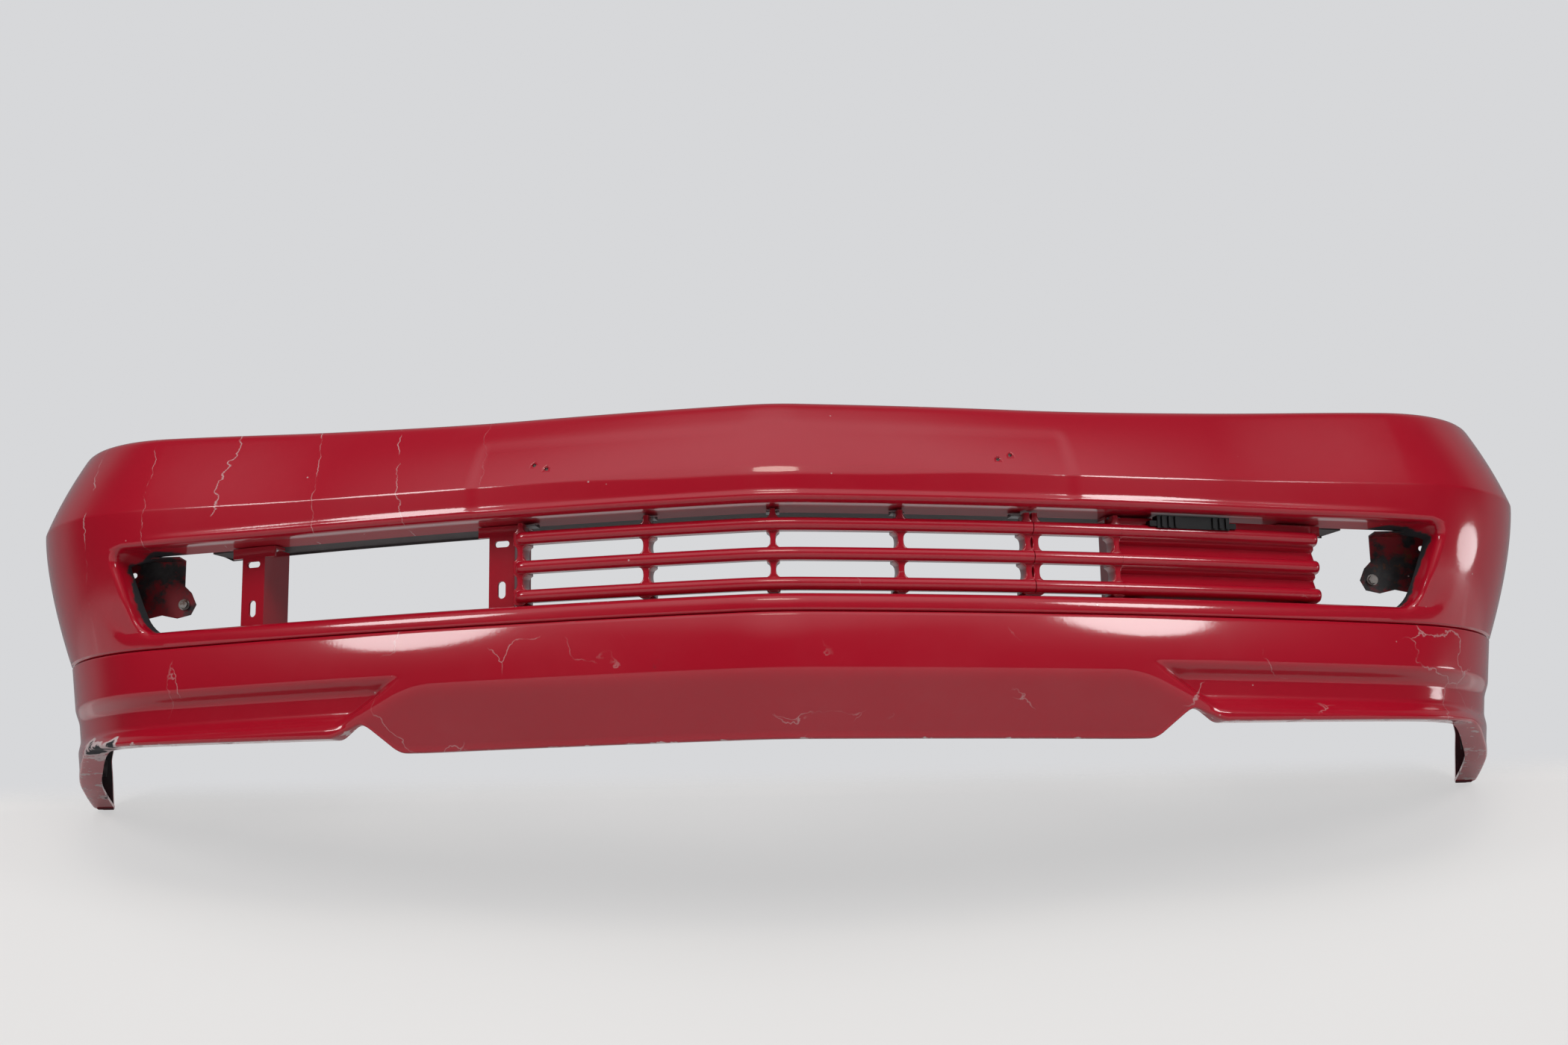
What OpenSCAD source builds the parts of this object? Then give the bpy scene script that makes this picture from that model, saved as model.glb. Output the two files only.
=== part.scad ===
// Front bumper cover of a two-seat roadster: painted upper cover, painted lower apron,
// slatted intake grille, tie brackets, fog lamp brackets and the hardware that holds them.
// Millimetres. X runs across the car, Y runs to the rear, Z is up.
// The seam between cover and apron is the level that heights are measured from.

/* [Plan curve] */
// Radius of the soft kink at the nose
nose_r = 240; // [150:10:400]
// Heading of the front face beside the nose, in degrees
nose_turn = 9; // [6:0.5:11]
// Radius of the long front face
front_r = 3104; // [2800:4:3400]
// Heading where the front face meets the corner
front_turn = 22; // [20:0.5:24]
// Radius of the front corners
corner_r = 240; // [220:2:260]
// Heading of the wings, where 90 is straight back
wing_turn = 86; // [84:0.5:88]

/* [Cover] */
// Wall of both plastic skins
wall = 3.5; // [3:0.1:4]
// Height of the top edge above the seam at the centre
top_z = 238; // [230:1:250]
// How much higher the top edge is at the corners
top_rise = 18; // [0:1:24]
// Height of the fold line above the seam at the centre
fold_z = 151; // [146:1:156]
// How much higher the fold line is at the corners
fold_rise = 8; // [0:1:12]
// How far the top edge lies behind the fold at the centre
top_setback = 58; // [45:1:65]
// How far the widest line of the wings stands out from the seam
side_bulge = 38; // [20:1:42]
// Depth of the flange along the top edge
top_flange = 24; // [18:1:30]
// Depth of the two joint flanges along the seam
seam_flange = 22; // [16:1:26]

/* [Intake] */
// Height of the intake's upper lip above the seam
intake_top = 116; // [112:1:120]
// Height of the intake's lower lip above the seam
intake_low = 20; // [17:1:24]
// Length along the plan curve from the nose to the intake's upper outer corner
intake_end_top = 786; // [775:1:795]
// Length along the plan curve from the nose to the intake's lower outer corner
intake_end_low = 754; // [740:1:765]
// Corner radius of the intake
intake_r = 20; // [10:1:26]
// Radius of the rolled lip round the intake
lip_r = 9; // [6:0.5:10]
// Depth of the intake's walls behind the lip
tunnel_d = 52; // [40:1:60]

/* [Apron] */
// Depth of the bend line of the chin below the seam
bend_z = 65; // [58:1:72]
// Depth of the chin's lower edge below the seam
chin_z = 130; // [120:1:138]
// Length from the nose to where the chin's lower edge starts to climb
chin_end = 427; // [405:1:435]
// Depth of the side lip's lower edge below the seam
side_z = 114; // [108:1:120]
// Length from the nose to the inner end of the side lip
side_start = 492; // [480:1:505]
// How far the chin tucks under for each millimetre down
chin_tuck = 0.62; // [0.4:0.02:0.8]
// Depth of the scooped groove above the side lip
groove_d = 13; // [6:1:16]
// Depth of the wing tips below the seam
tip_z = 160; // [150:1:166]
// Width of the return flange along the lower edge and the wheel arch
return_w = 26; // [20:1:30]

/* [Wheel arch] */
// Distance of the wing tips behind the nose
tip_y = 483; // [475:1:495]
// Radius of the wheel arch edge
arch_r = 415; // [380:5:500]
// Height of the wheel centre above the seam
arch_z = 58; // [40:1:70]

/* [Grille] */
// Height of the lowest slat above the seam
slat_z = 32; // [31:0.5:34]
// Distance from slat to slat
slat_pitch = 32; // [30:0.5:33]
// Height of a slat's rounded nose
slat_h = 14; // [12:0.5:16]
// Depth of a slat from nose to back edge
slat_d = 30; // [24:1:36]
// How far the slats lie behind the lip
slat_setback = 13; // [10:1:18]
// Distance from rib to rib
rib_pitch = 142; // [138:1:146]
// Thickness of a rib
rib_w = 6; // [4:0.5:8]
// Length from the nose to the outer end of the right insert
insert_end = 641; // [625:1:655]

/* [Brackets] */
// Width of a tie bracket's stem
stem_w = 30; // [26:1:34]
// Width of a tie bracket's top bar
bar_w = 56; // [48:1:62]
// Sheet thickness of the tie brackets
tie_t = 3; // [2.5:0.5:4]
// How far the tie brackets' front faces lie behind the plan curve
tie_back = 38; // [36:1:44]
// Depth of the side flange of a tie bracket
tie_d = 48; // [20:1:50]
// Length from the nose to the left inner tie bracket
tie_inner = 313; // [309:1:318]
// Length from the nose to the inner tie bracket behind the right insert's closed half
tie_hidden = 412; // [405:1:430]
// Length from the nose to the outer tie brackets
tie_outer = 628; // [615:1:640]
// Sheet thickness of the steel parts
steel_t = 2; // [1.5:0.1:3]
// Diameter of the lamp screw holes in the fog lamp brackets
lamp_hole = 6.5; // [6.2:0.1:7]
// Diameter of the mounting bores in the top strip
strip_bore = 8.5; // [6:0.5:10]
// Diameter of the studs on the side rails
stud_d = 6; // [5:0.5:8]
// Distance between the outer number plate holes
plate_span = 516; // [500:1:520]

/* [Hidden] */
$fn = 32;
paint = "#a01226";
nose_len = nose_r * nose_turn * PI / 180;
front_len = front_r * (front_turn - nose_turn) * PI / 180;
corner_len = corner_r * (wing_turn - front_turn) * PI / 180;
front_start = nose_len;
corner_start = nose_len + front_len;
wing_start = corner_start + corner_len;
front_bulge = 3;
apron_proud = 5;
// Middle of the depth and the lowest level, which put the origin at the bottom centre
mid_y = (tip_y - apron_proud - 0.5) / 2;
base_z = tip_z;

function ramp(a, b, v) = let (k = min(1, max(0, (v - a) / (b - a)))) k * k * (3 - 2 * k);
function mix(a, b, k) = a + (b - a) * k;
// Heading of the plan curve at the length s from the nose
function heading(s) = s < front_start ? nose_turn * s / nose_len
    : s < corner_start ? mix(nose_turn, front_turn, (s - front_start) / front_len)
    : s < wing_start ? mix(front_turn, wing_turn, (s - corner_start) / corner_len) : wing_turn;
// End point of an arc of radius r that starts at p and turns from heading a to heading b
function arc_end(p, r, a, b) = [p[0] + r * (sin(b) - sin(a)), p[1] + r * (cos(a) - cos(b))];
nose_end = arc_end([0, 0], nose_r, 0, nose_turn);
front_end = arc_end(nose_end, front_r, nose_turn, front_turn);
corner_end = arc_end(front_end, corner_r, front_turn, wing_turn);
function plan(s) = let (h = heading(s)) s < front_start ? arc_end([0, 0], nose_r, 0, h)
    : s < corner_start ? arc_end(nose_end, front_r, nose_turn, h)
    : s < wing_start ? arc_end(front_end, corner_r, front_turn, h)
    : corner_end + (s - wing_start) * [cos(wing_turn), sin(wing_turn)];
// Point at length s along the plan curve (negative to the left), n in front of it, at height z
function at(s, n, z) = let (a = abs(s), h = heading(a), p = plan(a))
    [sign(s) * (p[0] + n * sin(h)), p[1] - n * cos(h), z];

function upsweep(s) = ramp(290, 880, s);
function bulge(s) = front_bulge + (side_bulge - front_bulge) * ramp(520, 960, s);
function cover_top(s) = top_z + top_rise * upsweep(s);
function cover_fold(s) = fold_z + fold_rise * upsweep(s);
function top_n(s) = bulge(s) - top_setback + 13 * upsweep(s);
// How far the cover's face stands in front of the plan curve at height z
function cover_n(s, z) = let (f = cover_fold(s), t = cover_top(s), k = (z - f) / (t - f))
    z > f ? mix(bulge(s), top_n(s), k) + 5 * k * (1 - k) * 4 * 0.6 - 2 * max(0, 1 - k * 9)
    : bulge(s) * (1 - pow((f - z) / f, 1.5)) - 2 * max(0, 1 - (f - z) / 6);
// Length from the nose to the wheel arch edge at height z
arch_y = tip_y + sqrt(arch_r * arch_r - pow(tip_z + arch_z, 2));
function rear_y(z) = arch_y - sqrt(arch_r * arch_r - pow(z - arch_z, 2));
function rear_s(z) = wing_start + (rear_y(z) - corner_end[1]) / sin(wing_turn);
// Length from the nose to the intake's end at height z, with rounded corners
function end_inset(k) = let (
    c = intake_r / (intake_top - intake_low),
    e = max(0, abs(k - 0.5) - 0.5 + c) / c)
    intake_r * (1 - sqrt(max(0, 1 - e * e)));
function intake_end(z) = let (k = min(1, max(0, (z - intake_low) / (intake_top - intake_low))))
    mix(intake_end_low, intake_end_top, k) - end_inset(k);
function lip_drop(d) = d >= lip_r ? 0 : lip_r - sqrt(lip_r * lip_r - pow(lip_r - d, 2));

// A sheet from a grid of outer points g[station][row], wall thick, with an optional window.
// The window covers the stations w[0] to w[1] and rows w[2] to w[3], and gets walls of depth w[4].
function unit(v) = v / max(norm(v), 0.0001);
function inside(i, j, w) = i > w[0] && i < w[1] && j > w[2] && j < w[3];
function on_edge(i, j, w) = i >= w[0] && i <= w[1] && j >= w[2] && j <= w[3] && !inside(i, j, w);
function grid_normal(g, i, j, w) = let (
    m = len(g) - 1, r = len(g[0]) - 1,
    e = on_edge(i, j, w),
    i0 = (e && i == w[1] && j > w[2] && j < w[3]) ? i : max(0, i - 1),
    i1 = (e && i == w[0] && j > w[2] && j < w[3]) ? i : min(m, i + 1),
    j0 = (e && j == w[3]) ? j : max(0, j - 1),
    j1 = (e && j == w[2]) ? j : min(r, j + 1))
    unit(cross(g[i1][j] - g[i0][j], g[i][j0] - g[i][j1]));
function loop_ids(w) = concat(
    [for (i = [w[0] : w[1]]) [i, w[2]]], [for (j = [w[2] + 1 : w[3]]) [w[1], j]],
    [for (i = [w[1] - 1 : -1 : w[0]]) [i, w[3]]], [for (j = [w[3] - 1 : -1 : w[2] + 1]) [w[0], j]]);
function quad(a, b, c, d) = [[a, b, c], [a, c, d]];
module sheet(g, t, w = [-9, -9, -9, -9, 0]) {
    m = len(g);
    r = len(g[0]);
    ids = w[0] < 0 ? [] : loop_ids(w);
    q = len(ids);
    n = [for (i = [0 : m - 1]) [for (j = [0 : r - 1]) grid_normal(g, i, j, w)]];
    used = [for (i = [0 : m - 1]) for (j = [0 : r - 1]) g[i][j]];
    back = [for (i = [0 : m - 1]) for (j = [0 : r - 1]) g[i][j] - t * n[i][j]];
    // Straight inward direction at a loop point, and the outward side step of its wall
    inward = [for (k = ids) let (h = heading_of(g[k[0]][k[1]])) [-h[0], -h[1], 0]];
    deep = [for (k = [0 : 1 : q - 1]) let (p = g[ids[k][0]][ids[k][1]])
        p + w[4] * wall_share(p) * inward[k]];
    side = [for (k = [0 : 1 : q - 1]) let (v = n[ids[k][0]][ids[k][1]])
        unit(v - (v * inward[k]) * inward[k])];
    deep_back = [for (k = [0 : 1 : q - 1]) deep[k] - t * side[k]];
    o = m * r;
    function id(i, j) = i * r + j;
    function hole(i, j) = w[0] >= 0 && i >= w[0] && i < w[1] && j >= w[2] && j < w[3];
    front_faces = [for (i = [0 : m - 2]) for (j = [0 : r - 2]) if (!hole(i, j))
        each quad(id(i, j), id(i + 1, j), id(i + 1, j + 1), id(i, j + 1))];
    back_faces = [for (i = [0 : m - 2]) for (j = [0 : r - 2]) if (!hole(i, j))
        each quad(o + id(i, j), o + id(i, j + 1), o + id(i + 1, j + 1), o + id(i + 1, j))];
    rim_faces = concat(
        [for (i = [0 : m - 2]) each quad(id(i, 0), o + id(i, 0), o + id(i + 1, 0), id(i + 1, 0))],
        [for (i = [0 : m - 2]) let (a = id(i, r - 1), b = id(i + 1, r - 1)) each quad(a, b, o + b, o + a)],
        [for (j = [0 : r - 2]) let (a = id(0, j), b = id(0, j + 1)) each quad(a, b, o + b, o + a)],
        [for (j = [0 : r - 2]) let (a = id(m - 1, j), b = id(m - 1, j + 1)) each quad(a, o + a, o + b, b)]);
    wall_faces = [for (k = [0 : 1 : q - 1]) let (
        l = (k + 1) % q, a = id(ids[k][0], ids[k][1]), b = id(ids[l][0], ids[l][1]),
        c = 2 * o + k, d = 2 * o + l)
        each concat(quad(a, b, d, c), quad(c, d, d + q, c + q), quad(c + q, d + q, o + b, o + a))];
    polyhedron(concat(used, back, deep, deep_back), concat(front_faces, back_faces, rim_faces, wall_faces));
}
// The intake's end walls are shallower than its floor and ceiling
function wall_share(p) = 1 - 0.65 * ramp(650, 700, abs(p[0])) * (1 - ramp(100, 114, p[2]));
// Outward plan direction at a point, from the stretch of the plan curve that it lies on
function heading_of(p) = let (s = near_s([abs(p[0]), p[1]]), h = heading(s)) [sign(p[0]) * sin(h), -cos(h)];
function near_s(p, a = 0, b = 1150, c = 26) = c == 0 ? (a + b) / 2
    : let (m = (a + b) / 2, q = plan(m), h = heading(m), k = (p - q) * [cos(h), sin(h)])
    k > 0 ? near_s(p, m, b, c - 1) : near_s(p, a, m, c - 1);

// Grid of the upper cover. A station is [part of the way to the intake's end, distance past it,
// part of the rest, drop at the edge].
function cover_stations() = concat([for (k = [0 : 20]) [k / 20, 0, 0, 0]],
    [[1, lip_r / 2, 0, 0], [1, lip_r + 1, 0, 0]], [for (k = [1 : 11]) [1, lip_r + 1, k / 11, 0]],
    [[1, lip_r + 1, 1.015, 1.4], [1, lip_r + 1, 1.02, 5], [1, lip_r + 1, 1.02, return_w]]);
function cover_s(c, z) = let (e = intake_end(z), f = e + c[1])
    c[0] < 1 ? c[0] * e : f + c[2] * (rear_s(z) - f) / 1.02;
function cover_rows(s) = let (t = cover_top(s), f = cover_fold(s), n = top_n(s)) concat(
    [[t, n - top_flange], [t, n - 6], [t - 1.6, n - 1.6]],
    [for (z = [t - 6, mix(t, f, 0.35), mix(t, f, 0.68), f + 7, f, f - 8, (f + intake_top + 3) / 2,
        intake_top + lip_r + 1, intake_top + lip_r / 2, intake_top]) [z, cover_n(s, z)]],
    [for (k = [0.92, 0.78, 0.5, 0.22, 0.08]) let (z = mix(intake_low, intake_top, k)) [z, cover_n(s, z)]],
    [for (z = [intake_low, intake_low - lip_r / 2, intake_low - lip_r - 1, 3.2]) [z, cover_n(s, z)]],
    [[1, -1.2], [0.15, -4], [0.15, -seam_flange]]);
function window_drop(c, s, z) = let (
    dz = max(0, z - intake_top, intake_low - z),
    ds = c[0] < 1 ? 0 : max(0, s - intake_end(z)))
    (z > intake_top + 14 || z < intake_low - 14) ? 0 : lip_drop(norm([ds, dz]));
function cover_point(c, j, side) = let (
    z = cover_rows(mix(c[0] * 760, 1050, c[2] / 1.02))[j][0],
    s = cover_s(c, z),
    q = cover_rows(s)[j],
    n = q[1] - window_drop(c, s, q[0]),
    face = cover_n(s, max(3, min(q[0], cover_top(s) - 6))))
    at(side * s, max(n - c[3], min(n, face - return_w)), q[0]);
module upper_cover() {
    half = cover_stations();
    last = len(half) - 1;
    rows = len(cover_rows(0)) - 1;
    grid = [for (i = [-last : last]) [for (j = [0 : rows]) cover_point(half[abs(i)], j, i < 0 ? -1 : 1)]];
    place() color(paint) difference() {
        sheet(grid, wall, [last - 20, last + 20, 12, 18, tunnel_d]);
        plate_holes(2.1);
    }
}

// Lower edge of the apron: chin, notch, side lip and the wing's slope down to its tip
lip_z = side_z - 8;
notch_z = 100;
notch_start = 456;
notch_end = 463;
lip_end = 850;
bend_end = 396;
function low_z(s) = s < chin_end ? -chin_z
    : s < notch_start ? mix(-chin_z, -notch_z, (s - chin_end) / (notch_start - chin_end))
    : s < notch_end ? -notch_z
    : s < side_start ? mix(-notch_z, -side_z, (s - notch_end) / (side_start - notch_end))
    : s < lip_end ? mix(-side_z, -lip_z, (s - side_start) / (lip_end - side_start))
    : mix(-lip_z, -tip_z, (s - lip_end) / (rear_s(-tip_z) - lip_end));
function bend_line(s) = max(low_z(s) + 5, s < bend_end ? -bend_z
    : s < bend_end + 84 ? mix(-bend_z, -lip_z, (s - bend_end) / 84) : -lip_z);
function groove(s, z) = let (start = 412 + (-z - 54) * 1.45) ramp(49, 68, -z) * (1 - ramp(85, 103, -z))
    * ramp(start, start + 18, s) * (1 - 0.75 * ramp(800, 980, s));
// How far the apron's face stands in front of the plan curve: proud step under the seam, groove,
// hollow before the wing, tucked chin and raised side lip
function apron_n(s, z) = apron_proud * ramp(0, 25, -z) * (1 - ramp(700, 900, s))
    - groove_d * groove(s, z)
    - 12 * exp(-pow((s - 930) / 110, 2)) * min(1.2, -z / 100)
    - (s < 480 ? chin_tuck * max(0, bend_line(s) - z) : 0)
    + 3 * ramp(470, 500, s) * ramp(99, 106, -z) * (1 - ramp(800, 950, s));
// Grid of the apron. A station is [length from the nose, part of the rest, drop at the edge].
function apron_stations() = concat(
    [for (k = [0 : 12]) [k * 30, 0, 0]],
    [for (k = [0 : 17]) [384 + k * 7, 0, 0]],
    [for (k = [1 : 16]) [503, k / 16, 0]],
    [[503, 1.007, 1.4], [503, 1.01, 5], [503, 1.01, return_w]]);
function apron_s(c, z) = c[0] + c[1] * (rear_s(z) - c[0]) / 1.01;
function apron_rows(s) = let (b = bend_line(s), l = low_z(s)) concat(
    [[-0.15, -seam_flange, 1], [-0.15, -4, 1], [-1, -1.2, 1]],
    [for (k = [0, 0.2, 0.4, 0.5, 0.58, 0.66, 0.76, 0.86, 0.94, 1]) let (z = mix(-3.2, b, k))
        [z, apron_n(s, z), 0]],
    [for (k = [0.12, 0.5, 0.9]) let (z = mix(b, l, k)) [z, apron_n(s, z), 0]],
    [[l, apron_n(s, l) - 2, 0], [l, apron_n(s, l) - mix(9, return_w, ramp(462, 495, s)), 0]]);
function apron_point(c, j, side) = let (
    z = apron_rows(mix(c[0], 1060, c[1] / 1.01))[j][0],
    s = apron_s(c, z),
    q = apron_rows(s)[j],
    n = q[1],
    face = apron_n(s, max(q[0], low_z(s))))
    at(side * s, max(n - c[2], min(n, face - return_w)), q[0]);
module lower_apron() {
    half = apron_stations();
    last = len(half) - 1;
    rows = len(apron_rows(0)) - 1;
    grid = [for (i = [-last : last]) [for (j = [0 : rows]) apron_point(half[abs(i)], j, i < 0 ? -1 : 1)]];
    place() color(paint) sheet(grid, wall);
}

// Everything is drawn from the seam level and nose, then moved to the origin at the bottom centre
module place() { translate([0, -mid_y, base_z]) children(); }
// Children stand at the length s, with +X along the face, -Y to the front
module stand(s, n, z) {
    translate(at(s, n, z)) rotate([0, 0, sign(s) * heading(abs(s))]) children();
}
plate_z = 174;
plate_inset = 14;
plate_drop = 6;
module plate_holes(r) {
    for (side = [-1, 1]) for (k = [0, 1])
        translate([side * (plate_span / 2 - plate_inset * k), -60, plate_z - plate_drop * k])
            rotate([-90, 0, 0]) cylinder(h = 160, r = r);
}

// A closed bar: the outline p of [n, z] points carried along the plan curve from a to b
module bar(p, a, b, step = 24) {
    m = ceil((b - a) / step);
    k = len(p);
    pts = [for (i = [0 : m]) for (q = p) at(mix(a, b, i / m), q[0], q[1])];
    cap = [for (j = [0 : k - 1]) j];
    polyhedron(pts, concat([cap], [[for (j = [k - 1 : -1 : 0]) m * k + j]],
        [for (i = [0 : m - 1]) for (j = [0 : k - 1]) let (l = (j + 1) % k)
            each quad(i * k + j, (i + 1) * k + j, (i + 1) * k + l, i * k + l)]));
}
slat_r = slat_h / 2;
slat_back = -slat_setback - slat_d;
function slat_outline(z) = concat(
    [for (a = [90 : -22.5 : -90]) [-slat_setback - slat_r + slat_r * cos(a), z + slat_r * sin(a)]],
    [[slat_back, z - slat_r + 3], [slat_back, z + slat_r - 3]]);
module slats(a, b) {
    for (k = [0 : 2]) bar(slat_outline(slat_z + k * slat_pitch), a, b);
}
module rib(s, front = 9) {
    stand(s, -slat_setback - front, intake_low + 3)
        translate([-rib_w / 2, 0, 0]) cube([rib_w, slat_d - front, 90]);
}
grille_end = 290;
module centre_grille() {
    place() color(paint) {
        slats(-grille_end, grille_end - 1);
        for (k = [-1 : 1]) rib(k * rib_pitch);
        for (side = [-1, 1]) rib(side * (grille_end - 5));
    }
}
blind_start = 392;
// Outline of the insert's closed outer half: the slats' noses with stepped walls between them
wall_n = -slat_setback - 12;
function blind_outline() = concat([[wall_n, slat_z + 2 * slat_pitch + 15]],
    [for (k = [2 : -1 : 0]) let (z = slat_z + k * slat_pitch, r = slat_r) each concat(
        [[wall_n, z + r + 1]],
        [for (a = [75 : -30 : -75]) [-slat_setback - r + r * cos(a), z + r * sin(a)]],
        [[wall_n, z - r - 1]],
        k > 0 ? [[wall_n, z - r - 4], [wall_n - 6, z - r - 7]] : [])],
    [[wall_n - 11, slat_z - slat_r - 1], [wall_n - 11, slat_z + 2 * slat_pitch + 15]]);
module right_grille_insert() {
    place() color(paint) {
        slats(grille_end, blind_start);
        rib(grille_end + 4);
        rib(blind_start - rib_w / 2 - 0.4);
        bar(blind_outline(), blind_start + 0.2, insert_end);
    }
}
module insert_clip() {
    place() color("#16181b") stand(478, -slat_setback - 4, slat_z + 2.5 * slat_pitch - 6) {
        cube([88, 12, 14], center = true);
        for (x = [-38, -30, -22, 24, 32, 40]) translate([x, -7, 0]) cube([3, 3, 12], center = true);
        for (e = [-1, 1]) translate([e * 48, 0, -2]) cube([9, 10, 6], center = true);
    }
}

// T-shaped tie bracket between the intake's floor and ceiling
module tie_bracket(s) {
    low = intake_low + 2;
    high = intake_top - 1;
    tall = high - low;
    inner_edge = s < 0 ? stem_w / 2 - tie_t : -stem_w / 2;
    place() color(paint) stand(s, -tie_back, low) difference() {
        union() {
            translate([inner_edge, 0, 0]) cube([tie_t, tie_d, tall]);
            translate([-stem_w / 2, 0, 0]) cube([stem_w, tie_t, tall]);
            translate([-bar_w / 2, 0, tall - 12]) cube([bar_w, tie_t, 12]);
            translate([-bar_w / 2, 0, tall - tie_t]) cube([bar_w, 20, tie_t]);
            translate([-stem_w / 2, 0, 0]) cube([stem_w, 18, tie_t]);
        }
        slot_cut(10, 7, tall - 20, true);
        slot_cut(10, 9, 22, false);
        for (e = [-1, 1]) translate([e * 20, 12, tall - 5]) cylinder(h = 8, d = 4.2);
        translate([0, 11, -2]) cylinder(h = 8, d = 4.2);
    }
}
module slot_cut(length, width, z, level) {
    v = level ? [1, 0, 0] : [0, 0, 1];
    translate([0, -1, z]) {
        for (e = [-0.5, 0.5])
            translate(e * length * v) rotate([-90, 0, 0]) cylinder(h = tie_t + 2, d = width);
        translate([-(level ? length : width) / 2, 0, -(level ? width : length) / 2])
            cube([level ? length : width, tie_t + 2, level ? width : length]);
    }
}
module inner_left_bracket() { tie_bracket(-tie_inner); }
module outer_left_bracket() { tie_bracket(-tie_outer); }
module inner_right_bracket() { tie_bracket(tie_hidden); }
module outer_right_bracket() { tie_bracket(tie_outer); }
module bracket_rivets() {
    place() color("#8a8c90") for (s = [-tie_outer, -tie_inner, tie_hidden, tie_outer]) {
        for (e = [-1, 1])
            stand(s, -tie_back, intake_top - 1 - tie_t) translate([e * 20, 12, -1.6]) rivet(tie_t);
        stand(s, -tie_back, intake_low + 2 + tie_t)
            translate([0, 11, 0]) mirror([0, 0, 1]) translate([0, 0, -1.6]) rivet(tie_t);
    }
}
module rivet(grip) {
    cylinder(h = 1.5, d1 = 5, d2 = 8);
    cylinder(h = grip + 1.5, d = 4);
}

// Steel fog lamp bracket behind the intake's outer end
fog_x = 717;
fog_y = 258;
bolt_z = 62;
module fog_bracket(side) {
    place() color("#25272a") mirror([side < 0 ? 1 : 0, 0, 0]) translate([fog_x, fog_y, 0]) difference() {
        union() {
            rotate([90, 0, 0]) linear_extrude(steel_t)
                polygon([[-22, 115], [58, 115], [58, 22], [38, 22], [30, 44], [4, 50],
                    [-14, 46], [-30, 50], [-36, 62], [-30, 76], [-22, 84]]);
            translate([-22, -26, 113]) cube([80, 26, steel_t]);
            translate([56, -30, 40]) cube([steel_t, 30, 70]);
        }
        for (hole = [[-22, bolt_z], [38, 98], [46, 40]])
            translate([hole[0], 1, hole[1]]) rotate([90, 0, 0]) cylinder(h = 6, d = lamp_hole);
        for (e = [0, 44]) translate([-8 + e, -13, 110]) cylinder(h = 8, d = 4.2);
    }
}
module left_fog_lamp_bracket() { fog_bracket(-1); }
module right_fog_lamp_bracket() { fog_bracket(1); }
module fog_bracket_bolts() {
    place() color("#6d6a66") for (side = [-1, 1])
        translate([side * (fog_x - 22), fog_y - steel_t, bolt_z]) rotate([90, 0, 0]) {
            cylinder(h = 1.2, d = 13);
            cylinder(h = 5, d = 10, $fn = 6);
            translate([0, 0, -14]) cylinder(h = 14, d = 6);
        }
}
module fog_bracket_nuts() {
    place() color("#7a5a41") for (side = [-1, 1])
        translate([side * (fog_x - 22), fog_y, bolt_z]) rotate([-90, 0, 0]) difference() {
            cylinder(h = 5, d = 11.5, $fn = 6);
            translate([0, 0, -1]) cylinder(h = 8, d = 6.1);
        }
}
// Dark reinforcing strip behind the rear edge of the intake's ceiling
module intake_edge_strip() {
    front = -tunnel_d - lip_r + 3.6;
    rear = -tunnel_d - 44;
    low = intake_top + 0.3;
    outline = [[front, low + 2.7], [front, low], [rear + 2, low], [rear + 2, low - 2],
        [rear, low - 2], [rear, low + 2.7]];
    place() color("#3a3b3d") bar(outline, -700, 700, 50);
}

// Slotted steel strip under the top flange, with tabs that reach the body's nuts
strip_z = top_z - wall - 0.3 - steel_t;
tabs = [95, 240];
module top_mounting_strip() {
    outline = [for (s = [-284 : 28.4 : 284]) let (p = at(s, top_n(0) - 7, 0)) [p[0], p[1]]];
    back = [for (s = [284 : -28.4 : -284]) let (p = at(s, top_n(0) - top_flange + 1, 0)) [p[0], p[1]]];
    place() color("#2c2e31") translate([0, 0, strip_z]) difference() {
        linear_extrude(steel_t) {
            polygon(concat(outline, back));
            for (side = [-1, 1]) for (s = tabs) let (p = at(side * s, top_n(0) - top_flange - 12, 0))
                translate([p[0] - 13, p[1] - 18]) square([26, 32]);
        }
        for (side = [-1, 1]) for (s = tabs) let (p = at(side * s, top_n(0) - top_flange - 12, 0))
            translate([p[0], p[1], -1]) cylinder(h = 5, d = strip_bore);
    }
}
module top_strip_rivets() {
    place() color("#8a8c90") for (side = [-1, 1]) for (s = [40, 150, 190, 275])
        translate(at(side * s, top_n(0) - 15, strip_z - 1.4)) cylinder(h = 1.4, d1 = 5, d2 = 8);
}

// Curved steel rail inside each wing, with its studs
rail_n = 14;
rail_z = 62;
rail_h = 24;
corner_centre = front_end + corner_r * [-sin(front_turn), cos(front_turn)];
module side_rail(side) {
    place() color("#2c2e31") mirror([side < 0 ? 1 : 0, 0, 0])
        translate([corner_centre[0], corner_centre[1], rail_z]) rotate([0, 0, 48 - 90])
            rotate_extrude(angle = 36, $fn = 96)
                translate([corner_r + rail_n - steel_t, 0]) square([steel_t, rail_h]);
}
module left_side_rail() { side_rail(-1); }
module right_side_rail() { side_rail(1); }
module side_rail_studs() {
    place() color("#a7a9ac") for (side = [0, 1]) mirror([side, 0, 0]) for (a = [56, 66, 76])
        translate([corner_centre[0], corner_centre[1], rail_z + rail_h / 2]) rotate([0, 0, a - 90])
            translate([corner_r + rail_n - steel_t, 0, 0]) rotate([0, -90, 0]) {
                cylinder(h = 2, d = 12);
                cylinder(h = 20, d = stud_d);
            }
}
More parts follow.
